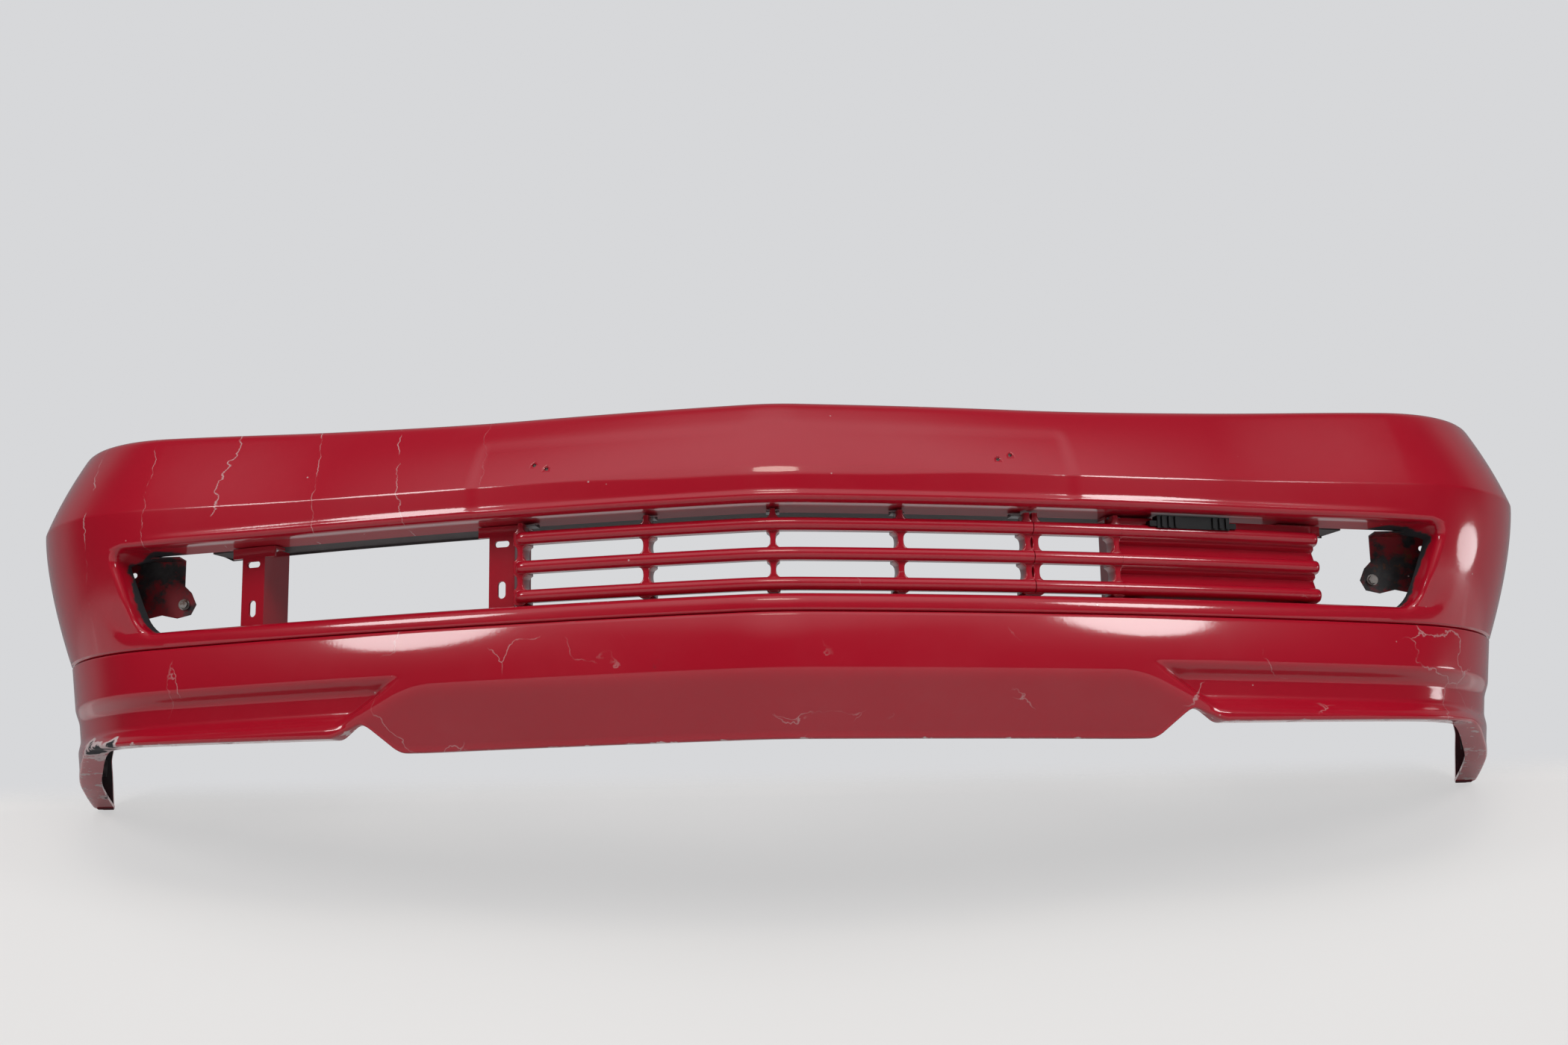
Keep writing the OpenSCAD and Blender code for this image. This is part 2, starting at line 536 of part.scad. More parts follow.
module number_plate_nuts() {
    place() color("#d8d6cf") for (side = [-1, 1]) for (k = [0, 1]) {
        x = plate_span / 2 - plate_inset * k;
        z = plate_z - plate_drop * k;
        translate([side * x, plate_back(x, z), z]) rotate([-90, 0, 0]) difference() {
            union() {
                cylinder(h = 2, d = 9);
                cylinder(h = 11, d1 = 7, d2 = 6);
            }
            translate([0, 0, -1]) cylinder(h = 14, d = 3.4);
        }
    }
}
// Where the cover's inner face lies at x and height z
function plate_back(x, z) = let (s = x * 1.013)
    plan(s)[1] - cover_n(s, z) / cos(heading(s)) + wall * 1.25 + 1.4;
// Spring clips that hold the two joint flanges together
module seam_clips() {
    place() color("#55585c") for (side = [-1, 1]) for (s = [60, 200, 340, 480, 620, 760, 900])
        stand(side * s, -seam_flange + 7, 0) translate([-7, 0, 0]) difference() {
            translate([0, 0, -wall - 1.6]) cube([14, 9.5, 2 * wall + 3.2]);
            translate([-1, -1, -wall - 0.5]) cube([16, 9, 2 * wall + 1]);
        }
}
// Spring nuts on the wheel arch flange and under the chin
module spring_nut() {
    difference() {
        union() {
            translate([-8, -11, 0]) cube([16, 22, 1.2]);
            cylinder(h = 4, d = 9);
        }
        translate([0, 0, -1]) cylinder(h = 7, d = 4.8);
    }
}
module wheel_arch_spring_nuts() {
    place() color("#55585c") for (side = [-1, 1]) for (z = [-110, -40, 40, 120, 190])
        translate([side * (corner_end[0] + cover_side(z) - 14), rear_y(z) - wall - 1.8, z])
            rotate([90, 0, 0]) spring_nut();
}
function cover_side(z) = z > 0 ? cover_n(wing_start, z) : 2;
module undertray_spring_nuts() {
    place() color("#55585c") for (side = [-1, 1]) for (s = [560, 640, 720, 800])
        stand(side * s, -return_w / 2 - 1, low_z(s) + wall + 0.5) spring_nut();
}
module grille_clips() {
    outer = rib_pitch * 2 - 6;
    place() color("#55585c") for (s = [-outer, -rib_pitch, 0, rib_pitch, outer, blind_start])
        stand(s, slat_back + 12, intake_low + 91) difference() {
            translate([-7, 0, 0]) cube([14, 14, 4]);
            translate([-8, -1, 2]) cube([16, 12, 3]);
        }
}

upper_cover();
lower_apron();
centre_grille();
right_grille_insert();
insert_clip();
inner_left_bracket();
outer_left_bracket();
inner_right_bracket();
outer_right_bracket();
bracket_rivets();
left_fog_lamp_bracket();
right_fog_lamp_bracket();
fog_bracket_bolts();
fog_bracket_nuts();
intake_edge_strip();
top_mounting_strip();
top_strip_rivets();
left_side_rail();
right_side_rail();
side_rail_studs();
number_plate_nuts();
seam_clips();
wheel_arch_spring_nuts();
undertray_spring_nuts();
grille_clips();
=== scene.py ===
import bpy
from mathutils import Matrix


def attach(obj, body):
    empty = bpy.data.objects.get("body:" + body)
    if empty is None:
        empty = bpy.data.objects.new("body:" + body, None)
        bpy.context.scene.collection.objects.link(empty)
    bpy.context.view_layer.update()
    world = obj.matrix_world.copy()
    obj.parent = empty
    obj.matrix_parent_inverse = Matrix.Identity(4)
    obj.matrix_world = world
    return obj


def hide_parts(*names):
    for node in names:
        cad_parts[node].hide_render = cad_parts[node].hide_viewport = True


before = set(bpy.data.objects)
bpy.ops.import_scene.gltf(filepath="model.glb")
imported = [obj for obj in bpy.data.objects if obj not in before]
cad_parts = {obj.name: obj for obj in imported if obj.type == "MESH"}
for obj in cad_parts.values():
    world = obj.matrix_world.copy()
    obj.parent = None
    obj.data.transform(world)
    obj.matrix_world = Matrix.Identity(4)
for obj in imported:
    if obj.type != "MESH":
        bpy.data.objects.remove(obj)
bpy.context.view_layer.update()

import math
import bmesh
import bpy
import numpy as np
from mathutils import Matrix, Vector

print("frame loaded:", len(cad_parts), "nodes")


def ramp(a, b, v):
    # smooth step of v, from 0 at a to 1 at b
    k = np.clip((v - a) / (b - a), 0, 1)
    return k * k * (3 - 2 * k)


def mix(a, b, k):
    return a + (b - a) * k


# plan curve: three arcs and a straight wing. Sizes are in millimetres, from the seam's level and the nose
planSizes = {"radii": (240, 3104, 240), "turns": (0, 9, 22, 86), "midY": 238.75, "baseZ": 160}
turns = np.radians(planSizes["turns"])
radii = np.array(planSizes["radii"], float)
knots = np.concatenate([[0], np.cumsum(radii * np.diff(turns))])
arcX = np.concatenate([[0], np.cumsum(radii * np.diff(np.sin(turns)))])
arcY = np.concatenate([[0], np.cumsum(-radii * np.diff(np.cos(turns)))])


def placeAt(s, n, z):
    # point at length s along the plan curve, n in front of it, at height z, in metres in the row frame
    s, n, z = np.broadcast_arrays(np.asarray(s, float), np.asarray(n, float), np.asarray(z, float))
    a = np.abs(s)
    h = np.interp(a, knots, turns)
    k = np.clip(np.searchsorted(knots, a, side="right") - 1, 0, 2)
    past = np.maximum(0, a - knots[3])
    x = arcX[k] + radii[k] * (np.sin(np.minimum(h, turns[3])) - np.sin(turns[k])) + past * np.cos(h)
    y = arcY[k] + radii[k] * (np.cos(turns[k]) - np.cos(h)) + past * np.sin(h)
    x = np.where(s < 0, -1.0, 1.0) * (x + n * np.sin(h))
    y = y - n * np.cos(h) - planSizes["midY"]
    return np.stack([x, y, z + planSizes["baseZ"]], -1) / 1000


# wheel arch: the wing's tip, the arc round the wheel centre, and the flange along it
archSizes = {"tipY": 483, "tipZ": 160, "radius": 415, "z": 58, "round": 5, "returnW": 26}
archY = archSizes["tipY"] + math.sqrt(archSizes["radius"] ** 2 - (archSizes["tipZ"] + archSizes["z"]) ** 2)


def rearS(z):
    # length along the curve to the wheel arch edge at height z
    y = archY - np.sqrt(archSizes["radius"] ** 2 - (z - archSizes["z"]) ** 2)
    return knots[3] + (y - arcY[3]) / math.sin(turns[3])


rearTip = float(rearS(-archSizes["tipZ"]))


# the upper cover's shape
coverSizes = {"wall": 3.5, "topZ": 238, "topRise": 18, "topForward": 13, "foldZ": 151, "foldRise": 8,
              "riseFrom": (290, 880), "setback": 58, "noseBulge": 3, "bulge": 38, "bulgeFrom": (520, 960),
              "bandBow": 12, "flange": 24, "seamFlange": 22, "foldSoft": 8, "foldSharp": 0.5,
              "foldFrom": (90, 260), "foldCut": 1.67}
# the face's details: plate panel, hollow ledge under the intake, and the bead over it
faceSizes = {"panel": 0.8, "panelSide": (330, 334), "panelTop": (203, 208), "panelLow": (122, 128),
             "ledge": 0.01, "ledgeAway": (20, 45), "ledgeUp": (20, 60),
             "bead": 1.1, "beadUp": 8, "beadHalf": 3.5, "beadEnd": (690, 760)}
# endShadeFrom: lengths over which the painted shade deep in the intake's ends fades in
intakeSizes = {"top": 116, "low": 20, "endTop": 786, "endLow": 754, "corner": 20, "lip": 9, "tight": 1.7,
               "lipZone": 62, "depth": 52, "endDepth": 0.65, "endFrom": (695, 745), "endUnder": (100, 114),
               "endShadeFrom": (700, 745), "steps": 150}


def upsweep(s):
    return ramp(*coverSizes["riseFrom"], s)


def bulge(s):
    nose = coverSizes["noseBulge"]
    return nose + (coverSizes["bulge"] - nose) * ramp(*coverSizes["bulgeFrom"], s)


def coverTop(s):
    return coverSizes["topZ"] + coverSizes["topRise"] * upsweep(s)


def coverFold(s):
    return coverSizes["foldZ"] + coverSizes["foldRise"] * upsweep(s)


def topN(s):
    return bulge(s) - coverSizes["setback"] + coverSizes["topForward"] * upsweep(s)


def coverN(s, z):
    # sloped band above the fold, barrelled face below it, and a rounding of the fold between them
    f, t = coverFold(s), coverTop(s)
    k = (z - f) / (t - f)
    above = mix(bulge(s), topN(s), k) + coverSizes["bandBow"] * k * (1 - k)
    below = bulge(s) * (1 - np.maximum(0, (f - z) / f) ** 1.5)
    soft = mix(coverSizes["foldSoft"], coverSizes["foldSharp"], ramp(*coverSizes["foldFrom"], s))
    cut = coverSizes["foldCut"] * np.maximum(0, 1 - np.abs(z - f) / soft) ** 2 * soft / 10
    return np.where(z > f, above, below) - cut


intakeMid = (intakeSizes["top"] + intakeSizes["low"]) / 2


def endLine(z):
    k = np.clip((z - intakeSizes["low"]) / (intakeSizes["top"] - intakeSizes["low"]), 0, 1)
    return mix(intakeSizes["endLow"], intakeSizes["endTop"], k)


def intakeEnd(z):
    # the slanted end line with a quarter round at each corner
    r = intakeSizes["corner"]
    k = (z - intakeSizes["low"]) / (intakeSizes["top"] - intakeSizes["low"])
    c = r / (intakeSizes["top"] - intakeSizes["low"])
    e = np.clip((np.abs(np.clip(k, 0, 1) - 0.5) - 0.5 + c) / c, 0, 1)
    return endLine(z) - r * (1 - np.sqrt(1 - e * e))


def intakeDistance(s, z):
    # distance outside the intake's rounded outline
    r = intakeSizes["corner"]
    half = (intakeSizes["top"] - intakeSizes["low"]) / 2
    qs, qz = s - endLine(z) + r, np.abs(z - intakeMid) - half + r
    return np.hypot(np.maximum(qs, 0), np.maximum(qz, 0)) + np.minimum(np.maximum(qs, qz), 0) - r


def lipDrop(d):
    # quarter round of radius lip that rolls the face into the intake
    r = intakeSizes["lip"]
    return r - np.sqrt(r * r - np.clip(r - d, 0, r) ** 2)


# mesh helpers
def addMesh(name, verts, faces, materials=None, matIndex=None, smooth=True, attrs=None):
    mesh = bpy.data.meshes.new(name)
    mesh.from_pydata(verts.reshape(-1, 3).tolist(), [], faces)
    mesh.update()
    for material in materials or []:
        mesh.materials.append(material)
    if matIndex is not None:
        mesh.polygons.foreach_set("material_index", np.asarray(matIndex, np.int32))
    mesh.polygons.foreach_set("use_smooth", np.full(len(mesh.polygons), smooth))
    for key, values in (attrs or {}).items():
        layer = mesh.attributes.new(key, "FLOAT", "POINT")
        layer.data.foreach_set("value", np.asarray(values, np.float32).ravel())
    piece = bpy.data.objects.new(name, mesh)
    bpy.context.scene.collection.objects.link(piece)
    return piece


def quads(a, b, c, d):
    return np.stack([a, b, c, d], -1).reshape(-1, 4)


def gridNormals(g, window):
    # cross product of the differences along the grid's two ways, taken on one side at the window's edge
    m, r = g.shape[:2]
    i, j = np.meshgrid(np.arange(m), np.arange(r), indexing="ij")
    i0, i1 = np.maximum(i - 1, 0), np.minimum(i + 1, m - 1)
    j0, j1 = np.maximum(j - 1, 0), np.minimum(j + 1, r - 1)
    if window:
        a, b, c, d = window
        rowsIn, colsIn = (j > c) & (j < d), (i >= a) & (i <= b)
        i0, i1 = np.where((i == b) & rowsIn, i, i0), np.where((i == a) & rowsIn, i, i1)
        j0, j1 = np.where((j == d) & colsIn, j, j0), np.where((j == c) & colsIn, j, j1)
    n = np.cross(g[i1, j] - g[i0, j], g[i, j0] - g[i, j1])
    return n / np.maximum(np.linalg.norm(n, axis=-1, keepdims=True), 1e-12)


def sheetPiece(name, g, wall, materials, window=None, inward=None, depth=0, attrs=None, ringAttrs=None):
    # outer grid g, an inner grid one wall behind it, rims round the edge, and walls round the window
    m, r = g.shape[:2]
    n = gridNormals(g, window)
    back = g - wall * n
    ids = np.arange(m * r).reshape(m, r)
    keep = np.ones((m - 1, r - 1), bool)
    if window:
        keep[window[0]:window[1], window[2]:window[3]] = False
    q = quads(ids[:-1, :-1], ids[:-1, 1:], ids[1:, 1:], ids[1:, :-1]).reshape(m - 1, r - 1, 4)[keep]
    o = m * r
    rims = [quads(ids[:-1, 0], ids[1:, 0], ids[1:, 0] + o, ids[:-1, 0] + o),
            quads(ids[:-1, -1], ids[:-1, -1] + o, ids[1:, -1] + o, ids[1:, -1]),
            quads(ids[0, :-1], ids[0, :-1] + o, ids[0, 1:] + o, ids[0, 1:]),
            quads(ids[-1, :-1], ids[-1, 1:], ids[-1, 1:] + o, ids[-1, :-1] + o)]
    verts = [g.reshape(-1, 3), back.reshape(-1, 3)]
    faces = [q, q[:, ::-1] + o] + rims
    kinds = [np.zeros(len(q)), np.ones(len(q))] + [np.zeros(len(e)) for e in rims]
    if window:
        a, b, c, d = window
        loop = np.concatenate([np.stack([np.arange(a, b), np.full(b - a, c)], 1),
                               np.stack([np.full(d - c, b), np.arange(c, d)], 1),
                               np.stack([np.arange(b, a, -1), np.full(b - a, d)], 1),
                               np.stack([np.full(d - c, a), np.arange(d, c, -1)], 1)])
        li, lj = loop[:, 0], loop[:, 1]
        edge, toward, side = g[li, lj], inward[li, lj], n[li, lj]
        ahead = toward / np.linalg.norm(toward, axis=-1, keepdims=True)
        side = side - (side * ahead).sum(-1, keepdims=True) * ahead
        side /= np.linalg.norm(side, axis=-1, keepdims=True)
        depths = np.linspace(0, depth, 9)[1:]
        rings = [edge + k * toward for k in depths]
        rings += [edge + k * toward - wall * side for k in depths[::-1]]
        rise = np.concatenate([depths, depths[::-1]]) / depth
        first = ids[li, lj]
        last = first + o
        count = len(loop)
        start = 2 * o
        ringIds = [first] + [start + k * count + np.arange(count) for k in range(len(rings))] + [last]
        verts += rings
        for k in range(len(ringIds) - 1):
            p, w = ringIds[k], ringIds[k + 1]
            strip = quads(p, w, np.roll(w, -1), np.roll(p, -1))
            faces.append(strip)
            kinds.append(np.full(len(strip), 0 if k < len(depths) + 1 else 1))
    points = np.concatenate(verts)
    faces = np.concatenate(faces)
    kinds = np.concatenate(kinds)
    used = np.zeros(len(points), bool)
    used[faces.ravel()] = True
    renumber = np.cumsum(used) - 1
    extra = {}
    for key, values in (attrs or {}).items():
        flat = np.zeros(len(points))
        flat[:o], flat[o:2 * o] = values.ravel(), values.ravel()
        extra[key] = flat[used]
    for key, values in (ringAttrs or {}).items():
        flat = np.zeros(len(points))
        onLoop = values[li, lj]
        flat[2 * o:] = (np.repeat(rise, count).reshape(-1, count) * onLoop).ravel()
        extra[key] = flat[used]
    return addMesh(name, points[used], renumber[faces].tolist(), materials, kinds, True, extra)


def shareOfArc(count):
    # shares 1 - sin of even angles, dense towards 0, for rows that follow a quarter round
    return 1 - np.sin(np.linspace(0, np.pi / 2, count))


def pickRows(s, kinds, table):
    # one value a row: table maps each kind of row to an array as wide as s
    out = np.zeros_like(s)
    for kind, values in table.items():
        out = np.where(kinds == kind, values, out)
    return out


# the upper cover's mesh
def coverRowTable():
    # rows from the top flange down to the joint flange: shares of top and fold height, height, kind, value
    top, low, lip = intakeSizes["top"], intakeSizes["low"], intakeSizes["lip"]
    soft, r = coverSizes["foldSoft"], intakeSizes["corner"]
    rows = [(1, 0, 0, 0, d) for d in np.linspace(coverSizes["flange"], 6, 5)]
    rows += [(1, 0, -6 * k * k, 1, k) for k in (0.25, 0.5, 0.75)]
    rows += [(1 - k, k, mix(-6, soft, k), 2, 0) for k in np.linspace(0, 1, 15)]
    rows += [(0, 1, mix(soft, -soft, k), 2, 0) for k in np.linspace(0, 1, 11)[1:]]
    rows += [(0, 1 - k, mix(-soft, top + lip + 1, k), 2, 0) for k in (0.3, 0.55, 0.68, 0.78, 0.86, 0.93, 1)]
    rows += [(0, 0, top + lip * k, 2, 0) for k in shareOfArc(8)]
    rows += [(0, 0, top - r * k, 2, 0) for k in shareOfArc(8)[::-1][1:]]
    rows += [(0, 0, z, 2, 0) for z in np.linspace(top - r, low + r, 9)[1:-1]]
    rows += [(0, 0, low + r * k, 2, 0) for k in shareOfArc(8)]
    rows += [(0, 0, low - lip * k, 2, 0) for k in shareOfArc(8)[::-1][1:]]
    rows += [(0, 0, z, 2, 0) for z in (8, 5.5, 3.2)]
    rows += [(0, 0, z, 3, n) for z, n in ((2.2, -0.15), (1.4, -0.6), (0.8, -1.5), (0.3, -2.8), (0.15, -4),
                                          (0.15, -10), (0.15, -coverSizes["seamFlange"]))]
    return np.array(rows, float).T


def coverStations():
    # columns: part of the way to the intake's end, distance past it, part of the rest, distance round the
    # rear edge, and drop behind the face
    lip, soft = intakeSizes["lip"], archSizes["round"]
    corner = np.linspace(0, np.pi / 2, 6)[1:]
    half = [(k, 0, 0, 0, 0) for k in np.linspace(0, 1, intakeSizes["steps"] + 1)]
    half += [(1, lip * k, 0, 0, 0) for k in shareOfArc(8)[::-1][1:]]
    half += [(1, lip, k, 0, 0) for k in np.linspace(0, 1, 52)[1:]]
    half += [(1, lip, 1, soft * math.sin(a), soft * (1 - math.cos(a))) for a in corner]
    half += [(1, lip, 1, soft, d) for d in np.linspace(soft, archSizes["returnW"], 5)[1:]]
    return np.array(half)


def coverPiece(materials):
    ta, tf, c, kind, value = coverRowTable()
    half = coverStations()
    last = len(half) - 1
    order = np.abs(np.arange(-last, last + 1))
    side = np.where(np.arange(-last, last + 1) < 0, -1.0, 1.0)[:, None]
    part, past, rest, along, drop = half[order].T[:, :, None]
    roughEnd, roughRear = 760, 1050  # first guess of the length, from which the heights follow
    near = mix(part * roughEnd, roughRear, rest)
    z = ta * coverTop(near) + tf * coverFold(near) + c
    end = intakeEnd(z)
    beyond = rest * (rearS(z) - archSizes["round"] - end - past)
    s = np.where(part < 1, part * end, end + past + beyond + along)
    t, lean = coverTop(s), topN(s)
    z = ta * t + tf * coverFold(s) + c
    edgeN = coverN(s, t - 6)
    bend = (1 - value) ** 2 * (lean - 6) + 2 * value * (1 - value) * lean + value ** 2 * edgeN
    n = pickRows(s, kind, {0: lean - value, 1: bend, 2: coverN(s, z), 3: value})
    away = intakeDistance(s, z)
    lipZone = (kind == 2) & (np.abs(z - intakeMid) < intakeSizes["lipZone"])
    tight = mix(1, intakeSizes["tight"], ramp(14, 40, z))
    n = n - np.where(lipZone, lipDrop(tight * np.maximum(away, 0)), 0)
    panel = 1 - ramp(*faceSizes["panelSide"], s)
    panel = panel * (1 - ramp(*faceSizes["panelTop"], z)) * ramp(*faceSizes["panelLow"], z)
    n = n - faceSizes["panel"] * panel * (kind == 2)
    ledge = np.clip(z - 2, 0, 18) ** 2 * (1 - ramp(*faceSizes["ledgeAway"], away))
    ledge = ledge * (1 - ramp(*faceSizes["ledgeUp"], z))
    bead = np.exp(-((z - intakeSizes["top"] - faceSizes["beadUp"]) / faceSizes["beadHalf"]) ** 2)
    bead = bead * (1 - ramp(*faceSizes["beadEnd"], s))
    n = n - (faceSizes["ledge"] * ledge - faceSizes["bead"] * bead) * (kind == 2)
    face = coverN(s, np.clip(z, 3, t - 6))
    n = np.maximum(n - drop, np.minimum(n, face - archSizes["returnW"]))
    g = placeAt(side * s, n, z)
    h = np.interp(s, knots, turns)
    shallow = intakeSizes["endDepth"] * ramp(*intakeSizes["endFrom"], s)
    share = 1 - shallow * (1 - ramp(*intakeSizes["endUnder"], z))
    inward = np.stack([-side * np.sin(h), np.cos(h), 0 * h], -1) * share[..., None]
    tops = np.where((ta + tf == 0) & (np.abs(c - intakeSizes["top"]) < 1e-6))[0]
    lows = np.where((ta + tf == 0) & (np.abs(c - intakeSizes["low"]) < 1e-6))[0]
    window = (last - intakeSizes["steps"], last + intakeSizes["steps"], int(tops[0]), int(lows[0]))
    gap = np.minimum(np.minimum(np.abs(t - z), rearS(z) - s), np.maximum(away, 0) + 3)
    edge = np.exp(-np.maximum(gap, 0) / 5)
    # its ring values: painted shade that grows deeper into the intake's ends, and a mark of the intake's
    # walls
    return sheetPiece("coverSkin", g, coverSizes["wall"] / 1000, materials, window, inward,
                      intakeSizes["depth"] / 1000, {"edge": edge},
                      {"endShade": ramp(*intakeSizes["endShadeFrom"], s), "inside": np.ones_like(s)})


# the lower apron
apronSizes = {"proud": 5, "bendZ": 65, "bendSoft": 7, "chinZ": 130, "chinEnd": 427, "notch": (456, 463),
              "notchZ": 100, "sideZ": 114, "sideStart": 492, "sideEnd": 850, "sideRise": 8, "tuck": 0.62,
              "groove": 13, "grooveStart": 412, "grooveLean": 1.45, "grooveFade": (800, 980),
              "hollow": 12, "hollowAt": 930, "hollowHalf": 110, "lip": 3,
              "coarse": 6, "fineFrom": 384, "fine": 1.7, "fineTo": 503}
sideLow = apronSizes["sideRise"] - apronSizes["sideZ"]
lowEdgeS = (0, apronSizes["chinEnd"], *apronSizes["notch"], apronSizes["sideStart"],
            apronSizes["sideEnd"], rearTip)
lowEdgeZ = (-apronSizes["chinZ"], -apronSizes["chinZ"], -apronSizes["notchZ"], -apronSizes["notchZ"],
            -apronSizes["sideZ"], sideLow, -archSizes["tipZ"])


def lowEdge(s):
    # lower edge of the apron: chin, notch, side lip and the slope down to the wing tip, averaged over 10 mm
    return sum(np.interp(s + d, lowEdgeS, lowEdgeZ) for d in (-5, -2.5, 0, 2.5, 5)) / 5


def bendLine(s):
    # height at which the face turns into the chin or the side lip
    ends = (-apronSizes["bendZ"], sideLow)
    line = sum(np.interp(s + d, (400, 480), ends) for d in (-22, -11, 0, 11, 22)) / 5
    return np.maximum(lowEdge(s) + 5, line)


def scoop(s, z):
    # share of the groove's depth: between two heights, from a leaning start, fading into the wing
    start = apronSizes["grooveStart"] + (-z - 54) * apronSizes["grooveLean"]
    return (ramp(49, 68, -z) * (1 - ramp(85, 103, -z)) * ramp(start, start + 18, s)
            * (1 - 0.75 * ramp(*apronSizes["grooveFade"], s)))


def apronN(s, z):
    # proud step below the seam, scooped groove, hollow before the wing, tucked chin and raised side lip
    w = apronSizes["bendSoft"]
    below = bendLine(s) - z
    tucked = np.where(below > w, below, np.maximum(below + w, 0) ** 2 / (4 * w))
    swell = 1 - np.clip(1 + z / 50, 0, 1) ** 2
    wing = np.exp(-((s - apronSizes["hollowAt"]) / apronSizes["hollowHalf"]) ** 2)
    return (apronSizes["proud"] * swell * (1 - ramp(700, 900, s)) - apronSizes["groove"] * scoop(s, z)
            - apronSizes["hollow"] * wing * np.minimum(1.2, -z / 100)
            - apronSizes["tuck"] * tucked * (1 - ramp(466, 484, s))
            + apronSizes["lip"] * ramp(470, 500, s) * ramp(99, 106, -z) * (1 - ramp(800, 950, s)))


def apronPiece(materials):
    # rows: share of the bend's height, share of the lower edge's height, fixed height, kind, value
    flange = ((0.15, -coverSizes["seamFlange"]), (0.15, -12), (0.15, -4), (0.3, -2.8), (0.8, -1.5),
              (1.4, -0.6), (2.2, -0.15))
    rows = [(0, 0, -z, 0, n) for z, n in flange]
    rows += [(k, 0, -3.2 * (1 - k), 1, 0) for k in np.linspace(0, 1, 44)]
    rows += [(1 - k, k, 4 * k, 1, 0) for k in np.linspace(0, 1, 14)[1:]]
    rows += [(0, 1, 4 * (1 - k) ** 2, 2, k) for k in (0.25, 0.5, 0.75, 1)]
    rows += [(0, 1, 0, 3, k) for k in np.linspace(0, 1, 6)[1:]]
    kb, kl, c, kind, value = np.array(rows, float).T
    # columns: length, part of the rest, distance round the rear edge, and drop behind the face
    soft, fineFrom, fineTo = archSizes["round"], apronSizes["fineFrom"], apronSizes["fineTo"]
    lengths = [np.arange(0, fineFrom, apronSizes["coarse"])]
    lengths += [np.arange(fineFrom, fineTo, apronSizes["fine"])]
    corner = np.linspace(0, np.pi / 2, 6)[1:]
    half = [(s, 0, 0, 0) for s in np.concatenate(lengths)]
    half += [(fineTo, k, 0, 0) for k in np.linspace(0, 1, 100)]
    half += [(fineTo, 1, soft * math.sin(a), soft * (1 - math.cos(a))) for a in corner]
    half += [(fineTo, 1, soft, d) for d in np.linspace(soft, archSizes["returnW"], 5)[1:]]
    half = np.array(half)
    last = len(half) - 1
    order = np.abs(np.arange(-last, last + 1))
    side = np.where(np.arange(-last, last + 1) < 0, -1.0, 1.0)[:, None]
    base, rest, along, drop = half[order].T[:, :, None]
    roughRear = 1060  # first guess of the length, from which the heights follow
    near = mix(base, roughRear, rest)
    z = kb * bendLine(near) + kl * lowEdge(near) + c
    s = base + rest * (rearS(z) - soft - base) + along
    low = lowEdge(s)
    z = kb * bendLine(s) + kl * low + c
    deep = mix(9, archSizes["returnW"], ramp(462, 495, s))
    faceLow = apronN(s, low + 4)
    n = pickRows(s, kind, {0: value + 0 * s, 1: apronN(s, z), 2: faceLow - 3.5 * value ** 2,
                           3: faceLow - 3.5 - (deep - 3.5) * value})
    face = apronN(s, np.maximum(z, low))
    n = np.maximum(n - drop, np.minimum(n, face - archSizes["returnW"]))
    g = placeAt(side * s, n, z)
    gap = np.minimum(z - low, rearS(z) - s)
    edge = np.exp(-np.maximum(gap, 0) / 5)
    return sheetPiece("apronSkin", g, coverSizes["wall"] / 1000, materials, attrs={"edge": edge})


# the grille and the insert: slats, ribs and a stepped closed half
grilleSizes = {"z": 32, "pitch": 32, "h": 14, "depth": 30, "setback": 13, "ribPitch": 142, "ribW": 6,
               "ribFront": 8, "end": 290, "blind": 392, "insertEnd": 641, "tip": 11}
tipSteps = np.array([-11, -9, -7, -5, -3.5, -2, -1, 0, 1, 2, 3.5, 5, 7, 9, 11])


def slatOutline(z):
    # half-round nose and a tapered tail
    a = np.linspace(np.pi / 2, -np.pi / 2, 15)
    r, back = grilleSizes["h"] / 2, -grilleSizes["setback"] - grilleSizes["depth"]
    nose = np.stack([-grilleSizes["setback"] - r + r * np.cos(a), z + r * np.sin(a)], 1)
    return np.concatenate([nose, [[back, z - r + 3], [back, z + r - 3]]])


def barGrid(outline, s, tips):
    # the outline at every station, its nose drawn back along an ellipse near a free end
    reach = grilleSizes["tip"]
    d = np.full(len(s), reach, float)
    for tip in tips:
        d = np.minimum(d, np.abs(s - tip))
    shift = reach * (1 - np.sqrt(np.maximum(0, 1 - ((reach - np.minimum(d, reach)) / reach) ** 2)))
    n = outline[None, :, 0] * np.ones((len(s), 1))
    front = ramp(-grilleSizes["setback"] - grilleSizes["depth"], -grilleSizes["setback"], n)
    return n - shift[:, None] * front * 0.9, outline[None, :, 1] * np.ones((len(s), 1))


def ribGrid(s, count=46):
    # an upright plate with rounded edges that widens where it meets each slat, as rings up its height
    half, r = grilleSizes["ribW"] / 2, 1.2
    a = np.radians([0, 30, 60, 90])
    low, high = intakeSizes["low"] + 3, intakeSizes["top"] - 3
    z = np.linspace(low, high, count)
    slats = grilleSizes["z"] + grilleSizes["pitch"] * np.arange(3)
    reach = np.abs(z[:, None] - slats).min(1) - grilleSizes["h"] / 2
    wide = half + 5 * np.exp(-np.maximum(reach, 0) / 2.2)
    frontN = -grilleSizes["setback"] - grilleSizes["ribFront"]
    backN = -grilleSizes["setback"] - grilleSizes["depth"] + 1
    ds = np.concatenate([half - r + r * np.sin(a), (half - r + r * np.sin(a))[::-1]])
    dn = np.concatenate([frontN - r + r * np.cos(a), (backN + r - r * np.cos(a))[::-1]])
    ds, dn = np.concatenate([ds, -ds[::-1]]), np.concatenate([dn, dn[::-1]])
    spread = s + ds[None] * (wide / half)[:, None]
    return spread, dn[None] * np.ones((count, 1)), z[:, None] * np.ones((1, len(ds)))


